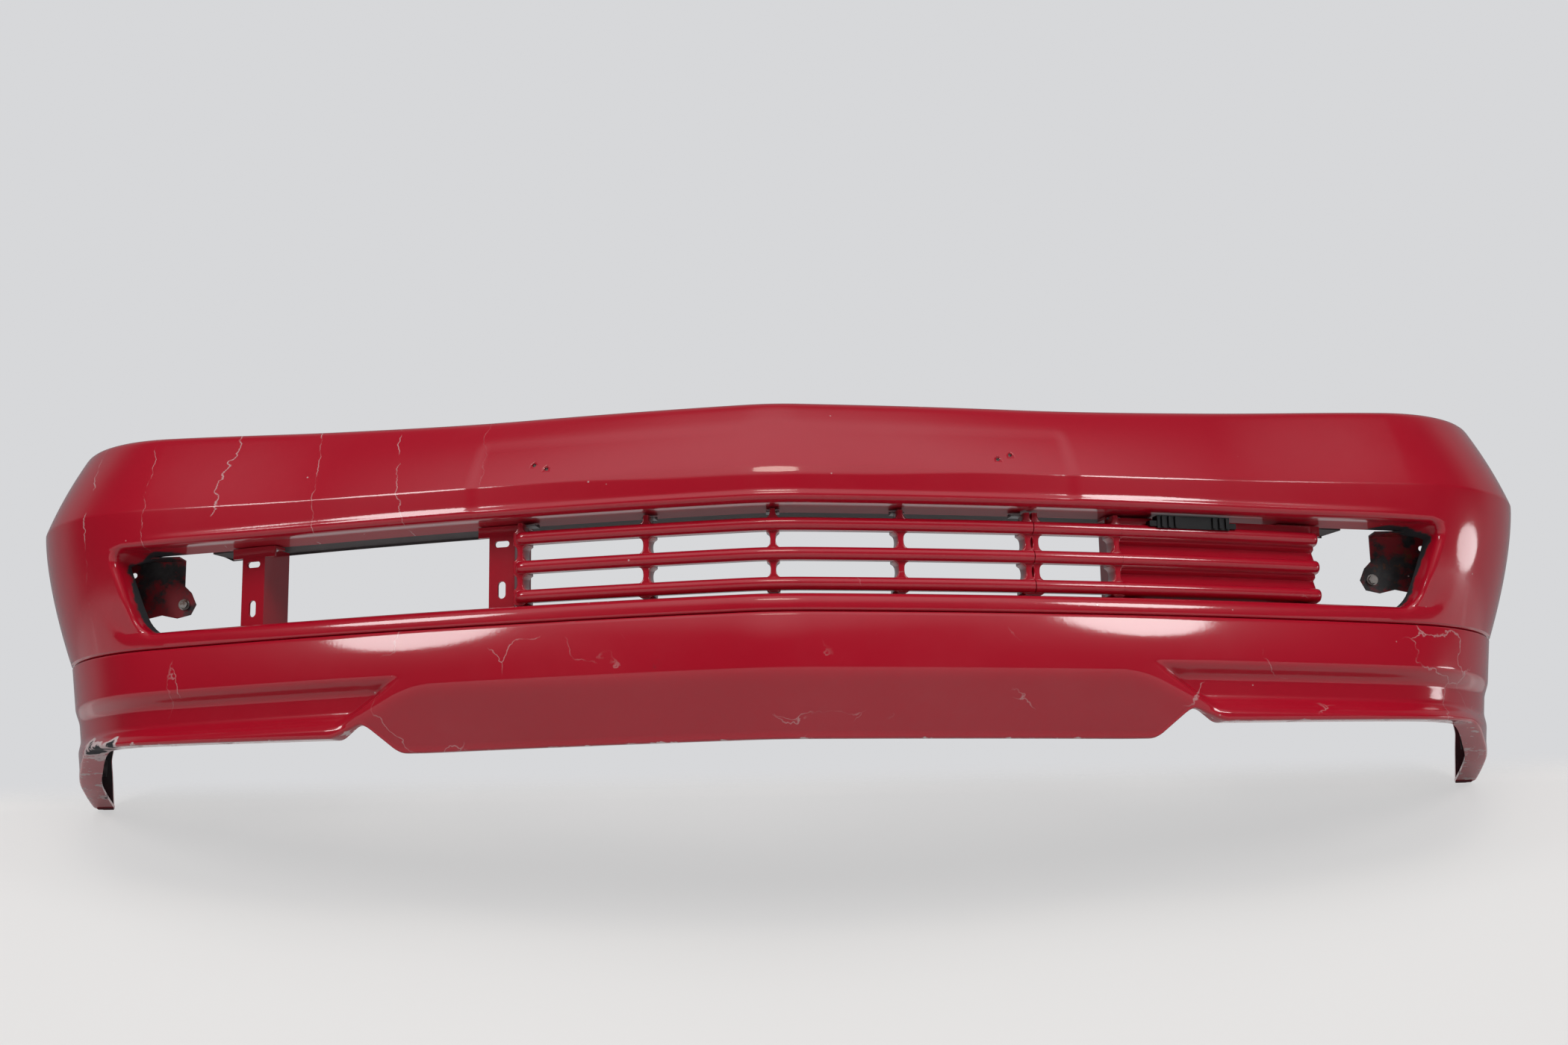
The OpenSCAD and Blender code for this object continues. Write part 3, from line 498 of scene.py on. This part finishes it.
def closedRings(grids):
    # rings of points joined into tubes with flat ends
    verts, faces, base = [], [], 0
    for g in grids:
        m, k = g.shape[:2]
        ids = base + np.arange(m * k).reshape(m, k)
        nxt = np.roll(ids, -1, 1)
        faces += quads(ids[:-1], ids[1:], nxt[1:], nxt[:-1]).tolist()
        faces += [ids[0].tolist(), ids[-1, ::-1].tolist()]
        verts.append(g.reshape(-1, 3))
        base += m * k
    return np.concatenate(verts), faces


def slatRings(outline, a, b, tips, step=4):
    s = np.linspace(a, b, int((b - a) / step) + 1)
    for tip in tips:
        s = np.union1d(s, np.clip(tip + tipSteps, a, b))
    n, z = barGrid(outline, s, tips)
    return placeAt(s[:, None] * np.ones_like(n), n, z)


def outwardMesh(piece):
    # merged doubles and faces turned outwards
    bm = bmesh.new()
    bm.from_mesh(piece.data)
    bmesh.ops.remove_doubles(bm, verts=bm.verts, dist=1e-6)
    bmesh.ops.recalc_face_normals(bm, faces=bm.faces)
    bm.to_mesh(piece.data)
    bm.free()
    piece.data.set_sharp_from_angle(angle=math.radians(38))
    return piece


def blindOutline():
    # the slats' noses with stepped walls between them
    wallN, r = -grilleSizes["setback"] - 12, grilleSizes["h"] / 2
    a = np.radians(np.linspace(75, -75, 13))
    top = grilleSizes["z"] + 2 * grilleSizes["pitch"] + 15
    points = [[wallN, top]]
    for k in (2, 1, 0):
        z = grilleSizes["z"] + k * grilleSizes["pitch"]
        points += [[wallN, z + r + 1]]
        points += np.stack([-grilleSizes["setback"] - r + r * np.cos(a), z + r * np.sin(a)], 1).tolist()
        points += [[wallN, z - r - 1]]
        points += [[wallN, z - r - 4], [wallN - 6, z - r - 7]] if k else []
    points += [[wallN - 11, grilleSizes["z"] - r - 1], [wallN - 11, top]]
    return np.array(points)


def grillePieces(materials):
    heights = [grilleSizes["z"] + k * grilleSizes["pitch"] for k in range(3)]
    end, blind = grilleSizes["end"], grilleSizes["blind"]
    rings = [slatRings(slatOutline(z), -end, end - 1, [-end]) for z in heights]
    rings += [placeAt(*ribGrid(k * grilleSizes["ribPitch"])) for k in (-1, 0, 1)]
    rings += [placeAt(*ribGrid(side * (end - 5))) for side in (-1, 1)]
    centre = outwardMesh(addMesh("centreGrille", *closedRings(rings), materials))
    rings = [slatRings(slatOutline(z), end, blind, []) for z in heights]
    rings += [placeAt(*ribGrid(s)) for s in (end + 4, blind - 3.4)]
    rings += [slatRings(blindOutline(), blind + 0.2, grilleSizes["insertEnd"], [grilleSizes["insertEnd"]])]
    insert = outwardMesh(addMesh("rightGrilleInsert", *closedRings(rings), materials))
    return centre, insert


# shader helpers
def plug(tree, n, links):
    for key, value in links.items():
        if isinstance(value, bpy.types.NodeSocket):
            tree.links.new(value, n.inputs[key])
        else:
            n.inputs[key].default_value = value


def addNode(tree, kind, links=None, **settings):
    n = tree.nodes.new("ShaderNode" + kind)
    for key, value in settings.items():
        setattr(n, key, value)
    plug(tree, n, links or {})
    return n


def sums(tree, operation, a, b, clamp=False):
    return addNode(tree, "Math", {0: a, 1: b}, operation=operation, use_clamp=clamp).outputs[0]


def times(tree, a, b):
    return sums(tree, "MULTIPLY", a, b)


def larger(tree, a, b):
    return sums(tree, "MAXIMUM", a, b)


def noise(tree, vector, scale, detail, roughness=0.5):
    links = {"Vector": vector, "Scale": scale, "Detail": detail, "Roughness": roughness}
    return addNode(tree, "TexNoise", links).outputs[0]


def steps(tree, value, low, high):
    # smooth step of value from low to high
    links = {"Value": value, "From Min": low, "From Max": high}
    return addNode(tree, "MapRange", links, interpolation_type="SMOOTHSTEP").outputs[0]


def fall(tree, value, low, high):
    # 1 at low, falling evenly to 0 at high
    links = {"Value": value, "From Min": low, "From Max": high, "To Min": 1.0, "To Max": 0.0}
    return addNode(tree, "MapRange", links).outputs[0]


def blend(tree, mask, a, b):
    n = addNode(tree, "Mix", {0: mask, 6: a, 7: b}, data_type="RGBA")
    return n.outputs[2]


def startGroup(name, inputs, outputs):
    group = bpy.data.node_groups.new(name, "ShaderNodeTree")
    for key, kind, value in inputs:
        socket = group.interface.new_socket(key, in_out="INPUT", socket_type="NodeSocket" + kind)
        if value is not None:
            socket.default_value = value
    for key, kind in outputs:
        group.interface.new_socket(key, in_out="OUTPUT", socket_type="NodeSocket" + kind)
    return group, group.nodes.new("NodeGroupInput").outputs, group.nodes.new("NodeGroupOutput").inputs


def edgeChips():
    # worn and chipped edges: noise plus a share of the edge value, past one threshold and then a higher one
    group, given, out = startGroup("edgeChips", [("Vector", "Vector", None), ("Edge", "Float", 0.0),
                                                 ("Amount", "Float", 0.5), ("Scale", "Float", 60.0)],
                                   [("Worn", "Float"), ("Bare", "Float")])
    coarse = noise(group, given["Vector"], given["Scale"], 5.0)
    level = sums(group, "ADD", coarse, times(group, given["Edge"], given["Amount"]))
    group.links.new(steps(group, level, 0.93, 0.99), out["Worn"])
    group.links.new(steps(group, level, 1.08, 1.12), out["Bare"])
    return group


def wavyScratches():
    # upright hairlines: the fraction of the warped x over a spacing, thin, broken up along their length
    group, given, out = startGroup("wavyScratches", [("Vector", "Vector", None), ("Spacing", "Float", 0.08),
                                                     ("Width", "Float", 0.02), ("Amount", "Float", 0.5)],
                                   [("Mask", "Float")])
    place = addNode(group, "SeparateXYZ", {0: given["Vector"]}).outputs[0]
    for stretch, reach in (((4.0, 1.0, 2.0), 0.14), ((7.0, 7.0, 52.0), 0.022)):
        links = {0: given["Vector"], 1: stretch}
        scaled = addNode(group, "VectorMath", links, operation="MULTIPLY").outputs[0]
        swing = noise(group, scaled, 1.0, 5.0, 0.6)
        place = sums(group, "ADD", place, times(group, swing, reach))
    share = sums(group, "FRACT", sums(group, "DIVIDE", place, given["Spacing"]), 0.0)
    away = sums(group, "ABSOLUTE", sums(group, "SUBTRACT", share, 0.5), 0.0)
    line = fall(group, away, 0.0, given["Width"])
    grain = noise(group, given["Vector"], 34.0, 4.0)
    gate = steps(group, sums(group, "ADD", grain, times(group, given["Amount"], 0.3)), 0.58, 0.72)
    group.links.new(times(group, line, gate), out["Mask"])
    return group


def crackLines():
    # crazed cracks: cell borders of warped space, kept only in noisy patches
    group, given, out = startGroup("crackLines", [("Vector", "Vector", None), ("Scale", "Float", 9.0),
                                                  ("Width", "Float", 0.02), ("Amount", "Float", 0.5)],
                                   [("Mask", "Float")])
    warp = addNode(group, "TexNoise", {"Vector": given["Vector"], "Scale": 13.0, "Detail": 5.0}).outputs[1]
    moved = addNode(group, "VectorMath", {0: warp, 1: (0.12, 0.12, 0.12), 2: given["Vector"]},
                    operation="MULTIPLY_ADD").outputs[0]
    cells = addNode(group, "TexVoronoi", {"Vector": moved, "Scale": given["Scale"]},
                    feature="DISTANCE_TO_EDGE").outputs[0]
    line = fall(group, cells, 0.0, given["Width"])
    patches = noise(group, given["Vector"], 11.0, 3.0)
    gate = steps(group, sums(group, "ADD", patches, times(group, given["Amount"], 0.3)), 0.7, 0.8)
    group.links.new(times(group, line, gate), out["Mask"])
    return group


def surfaceGrain():
    # orange peel or moulding grain as a height, and dust specks and haze as masks
    group, given, out = startGroup("surfaceGrain", [("Vector", "Vector", None), ("Peel", "Float", 260.0),
                                                    ("Haze", "Float", 0.5)],
                                   [("Height", "Float"), ("Specks", "Float"), ("Haze", "Float")])
    dots = addNode(group, "TexVoronoi", {"Vector": given["Vector"], "Scale": 46.0}).outputs
    size = fall(group, dots[0], 0.03, 0.06)
    chosen = steps(group, addNode(group, "SeparateColor", {0: dots[1]}).outputs[0], 0.86, 0.9)
    film = noise(group, given["Vector"], 6.5, 8.0, 0.62)
    group.links.new(noise(group, given["Vector"], given["Peel"], 2.0), out["Height"])
    group.links.new(times(group, size, chosen), out["Specks"])
    group.links.new(times(group, steps(group, film, 0.42, 0.72), given["Haze"]), out["Haze"])
    return group


groups = {"chips": edgeChips(), "scratches": wavyScratches(), "cracks": crackLines(),
          "grain": surfaceGrain()}
# barePlasticAndShade is the near-black of bare plastic under chipped paint, and also the colour of the
# painted shade in the intake's ends
primer, barePlasticAndShade, dustColour = (0.5, 0.4, 0.4, 1), (0.025, 0.027, 0.03, 1), (0.52, 0.4, 0.4, 1)


def startMaterial(name, **values):
    material = bpy.data.materials.new(name)
    material.use_nodes = True
    tree = material.node_tree
    shader = tree.nodes["Principled BSDF"]
    for key, value in values.items():
        shader.inputs[key.replace("_", " ")].default_value = value
    return material, tree, shader, addNode(tree, "TexCoord").outputs["Object"]


def useGroup(tree, name, links):
    n = tree.nodes.new("ShaderNodeGroup")
    n.node_tree = groups[name]
    plug(tree, n, links)
    return n.outputs


def bumpUp(tree, shader, height, strength, distance):
    bump = addNode(tree, "Bump", {"Height": height, "Strength": strength, "Distance": distance})
    tree.links.new(bump.outputs[0], shader.inputs["Normal"])
    if "Coat Normal" in shader.inputs:
        tree.links.new(bump.outputs[0], shader.inputs["Coat Normal"])


paintLook = {"deep": (0.285, 0.0016, 0.0105, 1), "light": (0.36, 0.0028, 0.0165, 1), "roughness": 0.34,
             "coat": 1.0, "coatRoughness": 0.08, "gloss": 0.12, "peel": 0.05, "satin": 0.8, "dust": 0.03,
             "wornRoughness": 0.6, "markRoughness": 0.7}


def paintMaterial(name, edgeAmount=0.0, scratches=0.0, cracks=0.0, haze=0.3, corner=False):
    # clear-coated paint with haze, dust, scratches and cracks; where edgeAmount is given, also chipped
    # edges, painted shade deep in the intake's ends, and dull intake walls
    look = paintLook
    material, tree, shader, place = startMaterial(
        name, Roughness=look["roughness"], Coat_Weight=look["coat"], Coat_Roughness=look["coatRoughness"],
        Specular_IOR_Level=look["gloss"])
    grain = useGroup(tree, "grain", {"Vector": place, "Peel": 210.0, "Haze": haze})
    colour = blend(tree, noise(tree, place, 2.6, 3.0), look["deep"], look["light"])
    marks = grain["Specks"]
    colour = blend(tree, times(tree, grain["Haze"], look["dust"]), colour, dustColour)
    axes = addNode(tree, "SeparateXYZ", {0: place}).outputs
    if scratches:
        links = {"Vector": place, "Spacing": 0.096, "Width": 0.009, "Amount": scratches}
        lines = useGroup(tree, "scratches", links)["Mask"]
        left = times(tree, steps(tree, axes[0], -0.3, -0.36), steps(tree, axes[2], 0.235, 0.29))
        marks = larger(tree, marks, times(tree, lines, left))
    if cracks:
        links = {"Vector": place, "Scale": 7.5, "Width": 0.008, "Amount": cracks}
        lines = useGroup(tree, "cracks", links)["Mask"]
        marks = larger(tree, marks, times(tree, lines, 0.75))
    colour = blend(tree, times(tree, marks, 0.7), colour, primer)
    links = {"Value": marks, "To Min": look["roughness"], "To Max": look["markRoughness"]}
    rough = addNode(tree, "MapRange", links).outputs[0]
    if edgeAmount:
        edge = addNode(tree, "Attribute", attribute_name="edge").outputs["Fac"]
        links = {"Vector": place, "Edge": edge, "Amount": edgeAmount, "Scale": 55.0}
        worn = useGroup(tree, "chips", links)
        worn, bare = worn["Worn"], worn["Bare"]
        if corner:
            # heavier chips at the left lower corner
            near = times(tree, steps(tree, axes[0], -0.62, -0.8), steps(tree, axes[1], 0.1, 0.02))
            push = times(tree, near, steps(tree, axes[2], 0.085, 0.05))
            chips = useGroup(tree, "chips", {"Vector": place, "Edge": push, "Amount": 0.62, "Scale": 42.0})
            worn = larger(tree, worn, chips["Worn"])
            bare = larger(tree, bare, chips["Bare"])
        colour = blend(tree, worn, colour, primer)
        colour = blend(tree, bare, colour, barePlasticAndShade)
        # painted shade: near-black colour that grows deeper into the intake's ends, broken up by noise, and
        # dull paint on its walls
        endShade = addNode(tree, "Attribute", attribute_name="endShade").outputs["Fac"]
        cloud = noise(tree, place, 24.0, 7.0, 0.65)
        endShade = steps(tree, sums(tree, "ADD", cloud, times(tree, endShade, 0.5)), 0.7, 0.82)
        colour = blend(tree, endShade, colour, barePlasticAndShade)
        inside = steps(tree, addNode(tree, "Attribute", attribute_name="inside").outputs["Fac"], 0.02, 0.3)
        dull = larger(tree, larger(tree, worn, bare), endShade)
        dull = larger(tree, dull, times(tree, inside, look["satin"]))
        coat = sums(tree, "SUBTRACT", look["coat"], dull, True)
        tree.links.new(coat, shader.inputs["Coat Weight"])
        rough = larger(tree, rough, times(tree, larger(tree, worn, inside), look["wornRoughness"]))
    tree.links.new(rough, shader.inputs["Roughness"])
    tree.links.new(colour, shader.inputs["Base Color"])
    bumpUp(tree, shader, grain["Height"], look["peel"], 0.0006)
    return material


def backMaterial():
    # inner faces: dark moulded plastic with crimson overspray and dirt
    material, tree, shader, place = startMaterial("innerPlastic", Roughness=0.62)
    grain = useGroup(tree, "grain", {"Vector": place, "Peel": 900.0, "Haze": 0.6})
    spray = steps(tree, noise(tree, place, 7.0, 7.0), 0.36, 0.62)
    colour = blend(tree, spray, (0.03, 0.028, 0.03, 1), (0.13, 0.008, 0.02, 1))
    colour = blend(tree, times(tree, grain["Haze"], 0.25), colour, (0.3, 0.27, 0.26, 1))
    tree.links.new(blend(tree, grain["Specks"], colour, primer), shader.inputs["Base Color"])
    bumpUp(tree, shader, grain["Height"], 0.25, 0.0004)
    return material


def plasticMaterial(name, dark, light, roughness, gloss=0.5, dust=0.12):
    # moulded plastic: fine grain, cloudy tone and a film of dust
    material, tree, shader, place = startMaterial(name, Roughness=roughness, Specular_IOR_Level=gloss)
    grain = useGroup(tree, "grain", {"Vector": place, "Peel": 1100.0, "Haze": 0.5})
    colour = blend(tree, noise(tree, place, 30.0, 6.0), dark, light)
    colour = blend(tree, times(tree, grain["Haze"], dust), colour, (0.4, 0.37, 0.35, 1))
    tree.links.new(colour, shader.inputs["Base Color"])
    bumpUp(tree, shader, grain["Height"], 0.3, 0.0003)
    return material


def metalMaterial(name, dark, light, metallic, roughness, rust=0.0, spray=0.0):
    # metal or painted steel: streaky tone, patches of rust and crimson overspray
    material, tree, shader, place = startMaterial(name, Metallic=metallic, Roughness=roughness)
    grain = useGroup(tree, "grain", {"Vector": place, "Peel": 700.0, "Haze": 0.4})
    tone = noise(tree, place, 55.0, 7.0, 0.7)
    colour = blend(tree, steps(tree, tone, 0.3, 0.7), dark, light)
    if spray:
        cloud = noise(tree, place, 26.0, 8.0, 0.68)
        mask = steps(tree, sums(tree, "ADD", cloud, 0.3 * spray), 0.58, 0.7)
        colour = blend(tree, mask, colour, (0.24, 0.006, 0.014, 1))
    if rust:
        cloud = noise(tree, place, 38.0, 8.0, 0.7)
        mask = steps(tree, sums(tree, "ADD", cloud, 0.3 * rust), 0.6, 0.72)
        tint = blend(tree, tone, (0.07, 0.02, 0.008, 1), (0.22, 0.07, 0.025, 1))
        colour = blend(tree, mask, colour, tint)
        links = {"Value": mask, "To Min": roughness, "To Max": 0.85}
        tree.links.new(addNode(tree, "MapRange", links).outputs[0], shader.inputs["Roughness"])
        bright = times(tree, sums(tree, "SUBTRACT", 1.0, mask), metallic)
        tree.links.new(bright, shader.inputs["Metallic"])
    tree.links.new(blend(tree, grain["Specks"], colour, primer), shader.inputs["Base Color"])
    bumpUp(tree, shader, tone, 0.25, 0.0005)
    return material


print("materials")
coverPaint = paintMaterial("coverPaint", edgeAmount=0.3, scratches=0.55, haze=0.35)
apronPaint = paintMaterial("apronPaint", edgeAmount=0.36, cracks=0.5, haze=0.4, corner=True)
grillePaint = paintMaterial("grillePaint", cracks=0.3, haze=0.5)
bracketPaint = paintMaterial("bracketPaint", cracks=0.7, haze=1.0)
innerPlastic = backMaterial()
clipPlastic = plasticMaterial("clipPlastic", (0.003, 0.0032, 0.0036, 1), (0.009, 0.0095, 0.011, 1), 0.42,
                              0.2, 0.03)
stripPlastic = plasticMaterial("stripPlastic", (0.02, 0.02, 0.021, 1), (0.07, 0.06, 0.062, 1), 0.6, 0.25)
nutPlastic = plasticMaterial("nutPlastic", (0.55, 0.52, 0.45, 1), (0.75, 0.72, 0.66, 1), 0.4)
lampSteel = metalMaterial("lampBracketSteel", (0.012, 0.012, 0.013, 1), (0.04, 0.04, 0.042, 1), 0.2, 0.5,
                          0.12, 0.4)
railSteel = metalMaterial("railSteel", (0.02, 0.02, 0.022, 1), (0.05, 0.05, 0.053, 1), 0.3, 0.5, 0.3)
springSteel = metalMaterial("springSteel", (0.16, 0.16, 0.165, 1), (0.3, 0.3, 0.3, 1), 0.9, 0.45, 0.1)
rivetMetal = metalMaterial("rivetMetal", (0.45, 0.45, 0.46, 1), (0.65, 0.65, 0.66, 1), 1.0, 0.35)
studSteel = metalMaterial("studSteel", (0.42, 0.41, 0.38, 1), (0.6, 0.59, 0.55, 1), 1.0, 0.35, 0.1)
wornSteel = metalMaterial("wornSteel", (0.2, 0.19, 0.18, 1), (0.36, 0.34, 0.32, 1), 0.9, 0.5, 0.5)
rustySteel = metalMaterial("rustySteel", (0.2, 0.11, 0.06, 1), (0.3, 0.2, 0.14, 1), 0.7, 0.6, 1.0)

print("cover")
cover = coverPiece([coverPaint, innerPlastic])
print("apron")
apron = apronPiece([apronPaint, innerPlastic])
for skin, crease in ((cover, 27), (apron, 42)):
    skin.data.set_sharp_from_angle(angle=math.radians(crease))
print("grille")
centreGrille, rightInsert = grillePieces([grillePaint])


# plate holes, bored through the cover
plateHoles = {"span": 516, "inset": 14, "z": 174, "drop": 6, "radius": 2.1, "reach": (-60, 100)}


def borePlateHoles(skin):
    # two holes a side, each cut by a closed tube
    a = np.linspace(0, 2 * np.pi, 17)[:-1]
    rings = []
    for side in (-1, 1):
        for k in (0, 1):
            x = side * (plateHoles["span"] / 2 - plateHoles["inset"] * k)
            z = plateHoles["z"] - plateHoles["drop"] * k
            r = plateHoles["radius"]
            ring = np.stack([x + r * np.cos(a), 0 * a, z + r * np.sin(a)], 1)
            shifts = [[0, y - planSizes["midY"], planSizes["baseZ"]] for y in plateHoles["reach"]]
            both = np.stack([ring + shift for shift in shifts])
            rings.append(both / 1000)
    cutter = outwardMesh(addMesh("plateHoleCutter", *closedRings(rings)))
    cut = skin.modifiers.new("plateHoles", "BOOLEAN")
    cut.object, cut.solver = cutter, "EXACT"
    bpy.context.view_layer.update()
    made = bpy.data.meshes.new_from_object(skin.evaluated_get(bpy.context.evaluated_depsgraph_get()))
    skin.modifiers.clear()
    skin.data = made
    bpy.data.objects.remove(cutter)


borePlateHoles(cover)

for piece, node, slotName in ((cover, "upper_cover", "cover_paint"), (apron, "lower_apron", "cover_paint"),
                              (centreGrille, "centre_grille", "grille_paint"),
                              (rightInsert, "right_grille_insert", "grille_paint")):
    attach(piece, "root")
    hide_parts(node)


# hardware: rounded copies of the brackets, and the CAD's own small parts
def bevelled(name, node, width, material):
    # a merged copy of a CAD part with its edges rounded
    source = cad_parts[node]
    bm = bmesh.new()
    bm.from_mesh(source.data)
    bmesh.ops.remove_doubles(bm, verts=bm.verts, dist=1e-5)
    bmesh.ops.dissolve_limit(bm, angle_limit=math.radians(1.5), verts=bm.verts, edges=bm.edges)
    mesh = bpy.data.meshes.new(name)
    bm.to_mesh(mesh)
    bm.free()
    mesh.materials.clear()
    mesh.materials.append(material)
    mesh.polygons.foreach_set("material_index", np.zeros(len(mesh.polygons), np.int32))
    piece = bpy.data.objects.new(name, mesh)
    bpy.context.scene.collection.objects.link(piece)
    rounding = piece.modifiers.new("rounding", "BEVEL")
    rounding.width, rounding.segments, rounding.limit_method = width, 2, "ANGLE"
    rounding.angle_limit, rounding.harden_normals = math.radians(40), False
    mesh.polygons.foreach_set("use_smooth", np.ones(len(mesh.polygons), bool))
    mesh.set_sharp_from_angle(angle=math.radians(30))
    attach(piece, "root")
    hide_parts(node)
    return piece


print("hardware")
for side in ("left", "right"):
    for place in ("inner", "outer"):
        bevelled(place + side.title() + "Bracket", place + "_" + side + "_bracket", 0.0008, bracketPaint)
    bevelled(side + "LampBracket", side + "_fog_lamp_bracket", 0.0006, lampSteel)

carried = {"insert_clip": clipPlastic, "bracket_rivets": rivetMetal, "fog_bracket_bolts": wornSteel,
           "fog_bracket_nuts": rustySteel, "intake_edge_strip": stripPlastic,
           "top_mounting_strip": railSteel, "top_strip_rivets": rivetMetal, "left_side_rail": railSteel,
           "right_side_rail": railSteel, "side_rail_studs": studSteel, "number_plate_nuts": nutPlastic,
           "seam_clips": springSteel, "wheel_arch_spring_nuts": springSteel,
           "undertray_spring_nuts": springSteel, "grille_clips": springSteel}
for node, material in carried.items():
    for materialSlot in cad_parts[node].material_slots:
        materialSlot.material = material

print("stage")
# the stage: a level sheet of paper, and one that leans through the line of the wing tips for the low camera
stageSizes = {"half": 6.0, "levelFar": (2.6, 5.2), "leanFar": (2.2, 2.9), "lean": 33.0, "leanReach": 4,
              "tipLine": 0.244, "fade": (0.25, 0.31), "levelGlow": 0.2, "leanGlow": 0.53}


def floorMaterial(name, glow, shade, light, far, fade=None):
    # pale paper, seen only from its upper side, clouded a little, and clear past its far edge and fade;
    # its glow fills the shadows
    material, tree, shader, place = startMaterial(name, Roughness=0.75, Emission_Strength=glow,
                                                  Emission_Color=(1, 1, 1, 1))
    cloud = noise(tree, place, 0.9, 4.0)
    tree.links.new(blend(tree, cloud, shade, light), shader.inputs["Base Color"])
    seen = sums(tree, "SUBTRACT", 1.0, addNode(tree, "NewGeometry").outputs["Backfacing"])
    away = addNode(tree, "VectorMath", {0: place}, operation="LENGTH").outputs["Value"]
    seen = times(tree, seen, steps(tree, away, far[1], far[0]))
    if fade:
        y = addNode(tree, "SeparateXYZ", {0: place}).outputs[1]
        seen = times(tree, seen, steps(tree, y, fade[1], fade[0]))
    tree.links.new(seen, shader.inputs["Alpha"])
    return material


def floorPiece(name, corners, material):
    piece = addMesh(name, np.array(corners, float), [[0, 1, 2, 3]], [material], smooth=False)
    return piece


half, tipLine = stageSizes["half"], stageSizes["tipLine"]
floorPiece("levelFloor", [(-half, -half, 0), (half, -half, 0), (half, half, 0), (-half, half, 0)],
           floorMaterial("levelPaper", stageSizes["levelGlow"], (0.46, 0.46, 0.465, 1),
                         (0.52, 0.52, 0.52, 1), stageSizes["levelFar"]))
down, up = stageSizes["leanReach"], stageSizes["fade"][1] - tipLine
lean = math.radians(stageSizes["lean"])
slope = math.tan(lean)
floorPiece("leaningFloor", [(-half, tipLine - down, -down * slope), (half, tipLine - down, -down * slope),
                            (half, tipLine + up, up * slope), (-half, tipLine + up, up * slope)],
           floorMaterial("leaningPaper", stageSizes["leanGlow"], (0.23, 0.22, 0.215, 1),
                         (0.26, 0.25, 0.24, 1), stageSizes["leanFar"], stageSizes["fade"]))

world = bpy.data.worlds.new("studio")
bpy.context.scene.world = world
world.use_nodes = True
tree = world.node_tree
# the camera sees a pale wall all round; light and reflections see a dim wall behind, a dark room in front
# and a bright ceiling square over the leaning sheet
paleWall, dimWall = (0.68, 0.685, 0.7, 1), (0.25, 0.25, 0.26, 1)
darkRoom, ceiling = (0.05, 0.05, 0.055, 1), (0.9, 0.9, 0.93, 1)
look = addNode(tree, "TexCoord").outputs["Generated"]
height = addNode(tree, "VectorMath", {0: look, 1: (0, -math.sin(lean), math.cos(lean))},
                 operation="DOT_PRODUCT").outputs["Value"]
behind = addNode(tree, "SeparateXYZ", {0: look}).outputs[1]
room = blend(tree, steps(tree, height, 0.74, 0.9), darkRoom, ceiling)
room = blend(tree, steps(tree, behind, 0.05, 0.4), room, dimWall)
seenByCamera = addNode(tree, "LightPath").outputs["Is Camera Ray"]
tree.links.new(blend(tree, seenByCamera, room, paleWall), tree.nodes["Background"].inputs["Color"])


def softBox(name, location, target, size, power, colour=(1, 1, 1)):
    # an oval area lamp, hidden from the camera, that points at target
    data = bpy.data.lights.new(name, "AREA")
    data.shape, data.size, data.size_y = "ELLIPSE", size[0], size[1]
    data.energy, data.color = power, colour
    lamp = bpy.data.objects.new(name, data)
    lamp.location = location
    lamp.visible_camera = False
    lamp.rotation_euler = (Vector(target) - Vector(location)).to_track_quat("-Z", "Y").to_euler()
    bpy.context.scene.collection.objects.link(lamp)
    return lamp


softBox("leftBox", (-2.07, -1.8, 1.45), (-0.4, 0, 0.2), (0.75, 0.95), 22)
softBox("rightBox", (2.05, -1.9, 1.45), (0.4, 0, 0.2), (0.65, 0.95), 22)
softBox("sideBox", (3.2, 0.02, 0.17), (0.77, 0, 0.2), (0.75, 0.3), 4)
softBox("noseLamp", (0.05, -2.0, 1.9), (0, 0, 0.3), (0.9, 0.6), 10, (1, 0.93, 0.8))
highBox = softBox("highBox", (0, -1.9, 2.6), (0, 0, 0.1), (2.8, 1.6), 24)
highBox.visible_glossy = False  # it fills from above, and leaves no streak along the fold

cameraPlace = {"location": (0.030, -2.3098, -0.1686), "pitch": 11.51, "yaw": -0.49, "roll": -1.12,
               "lens": 46.29}


def addCamera():
    data = bpy.data.cameras.new("camera")
    data.lens, data.sensor_width, data.clip_start = cameraPlace["lens"], 36, 0.01
    camera = bpy.data.objects.new("camera", data)
    pitch, yaw, roll = (math.radians(cameraPlace[k]) for k in ("pitch", "yaw", "roll"))
    ahead = Vector((math.sin(yaw) * math.cos(pitch), math.cos(yaw) * math.cos(pitch), math.sin(pitch)))
    across = ahead.cross(Vector((0, 0, 1))).normalized()
    above = across.cross(ahead)
    right = math.cos(roll) * across + math.sin(roll) * above
    upright = math.cos(roll) * above - math.sin(roll) * across
    camera.matrix_world = Matrix((right, upright, -ahead)).transposed().to_4x4()
    camera.location = cameraPlace["location"]
    bpy.context.scene.collection.objects.link(camera)
    bpy.context.scene.camera = camera


addCamera()
bpy.context.scene.view_settings.view_transform = "Standard"

print("finished")
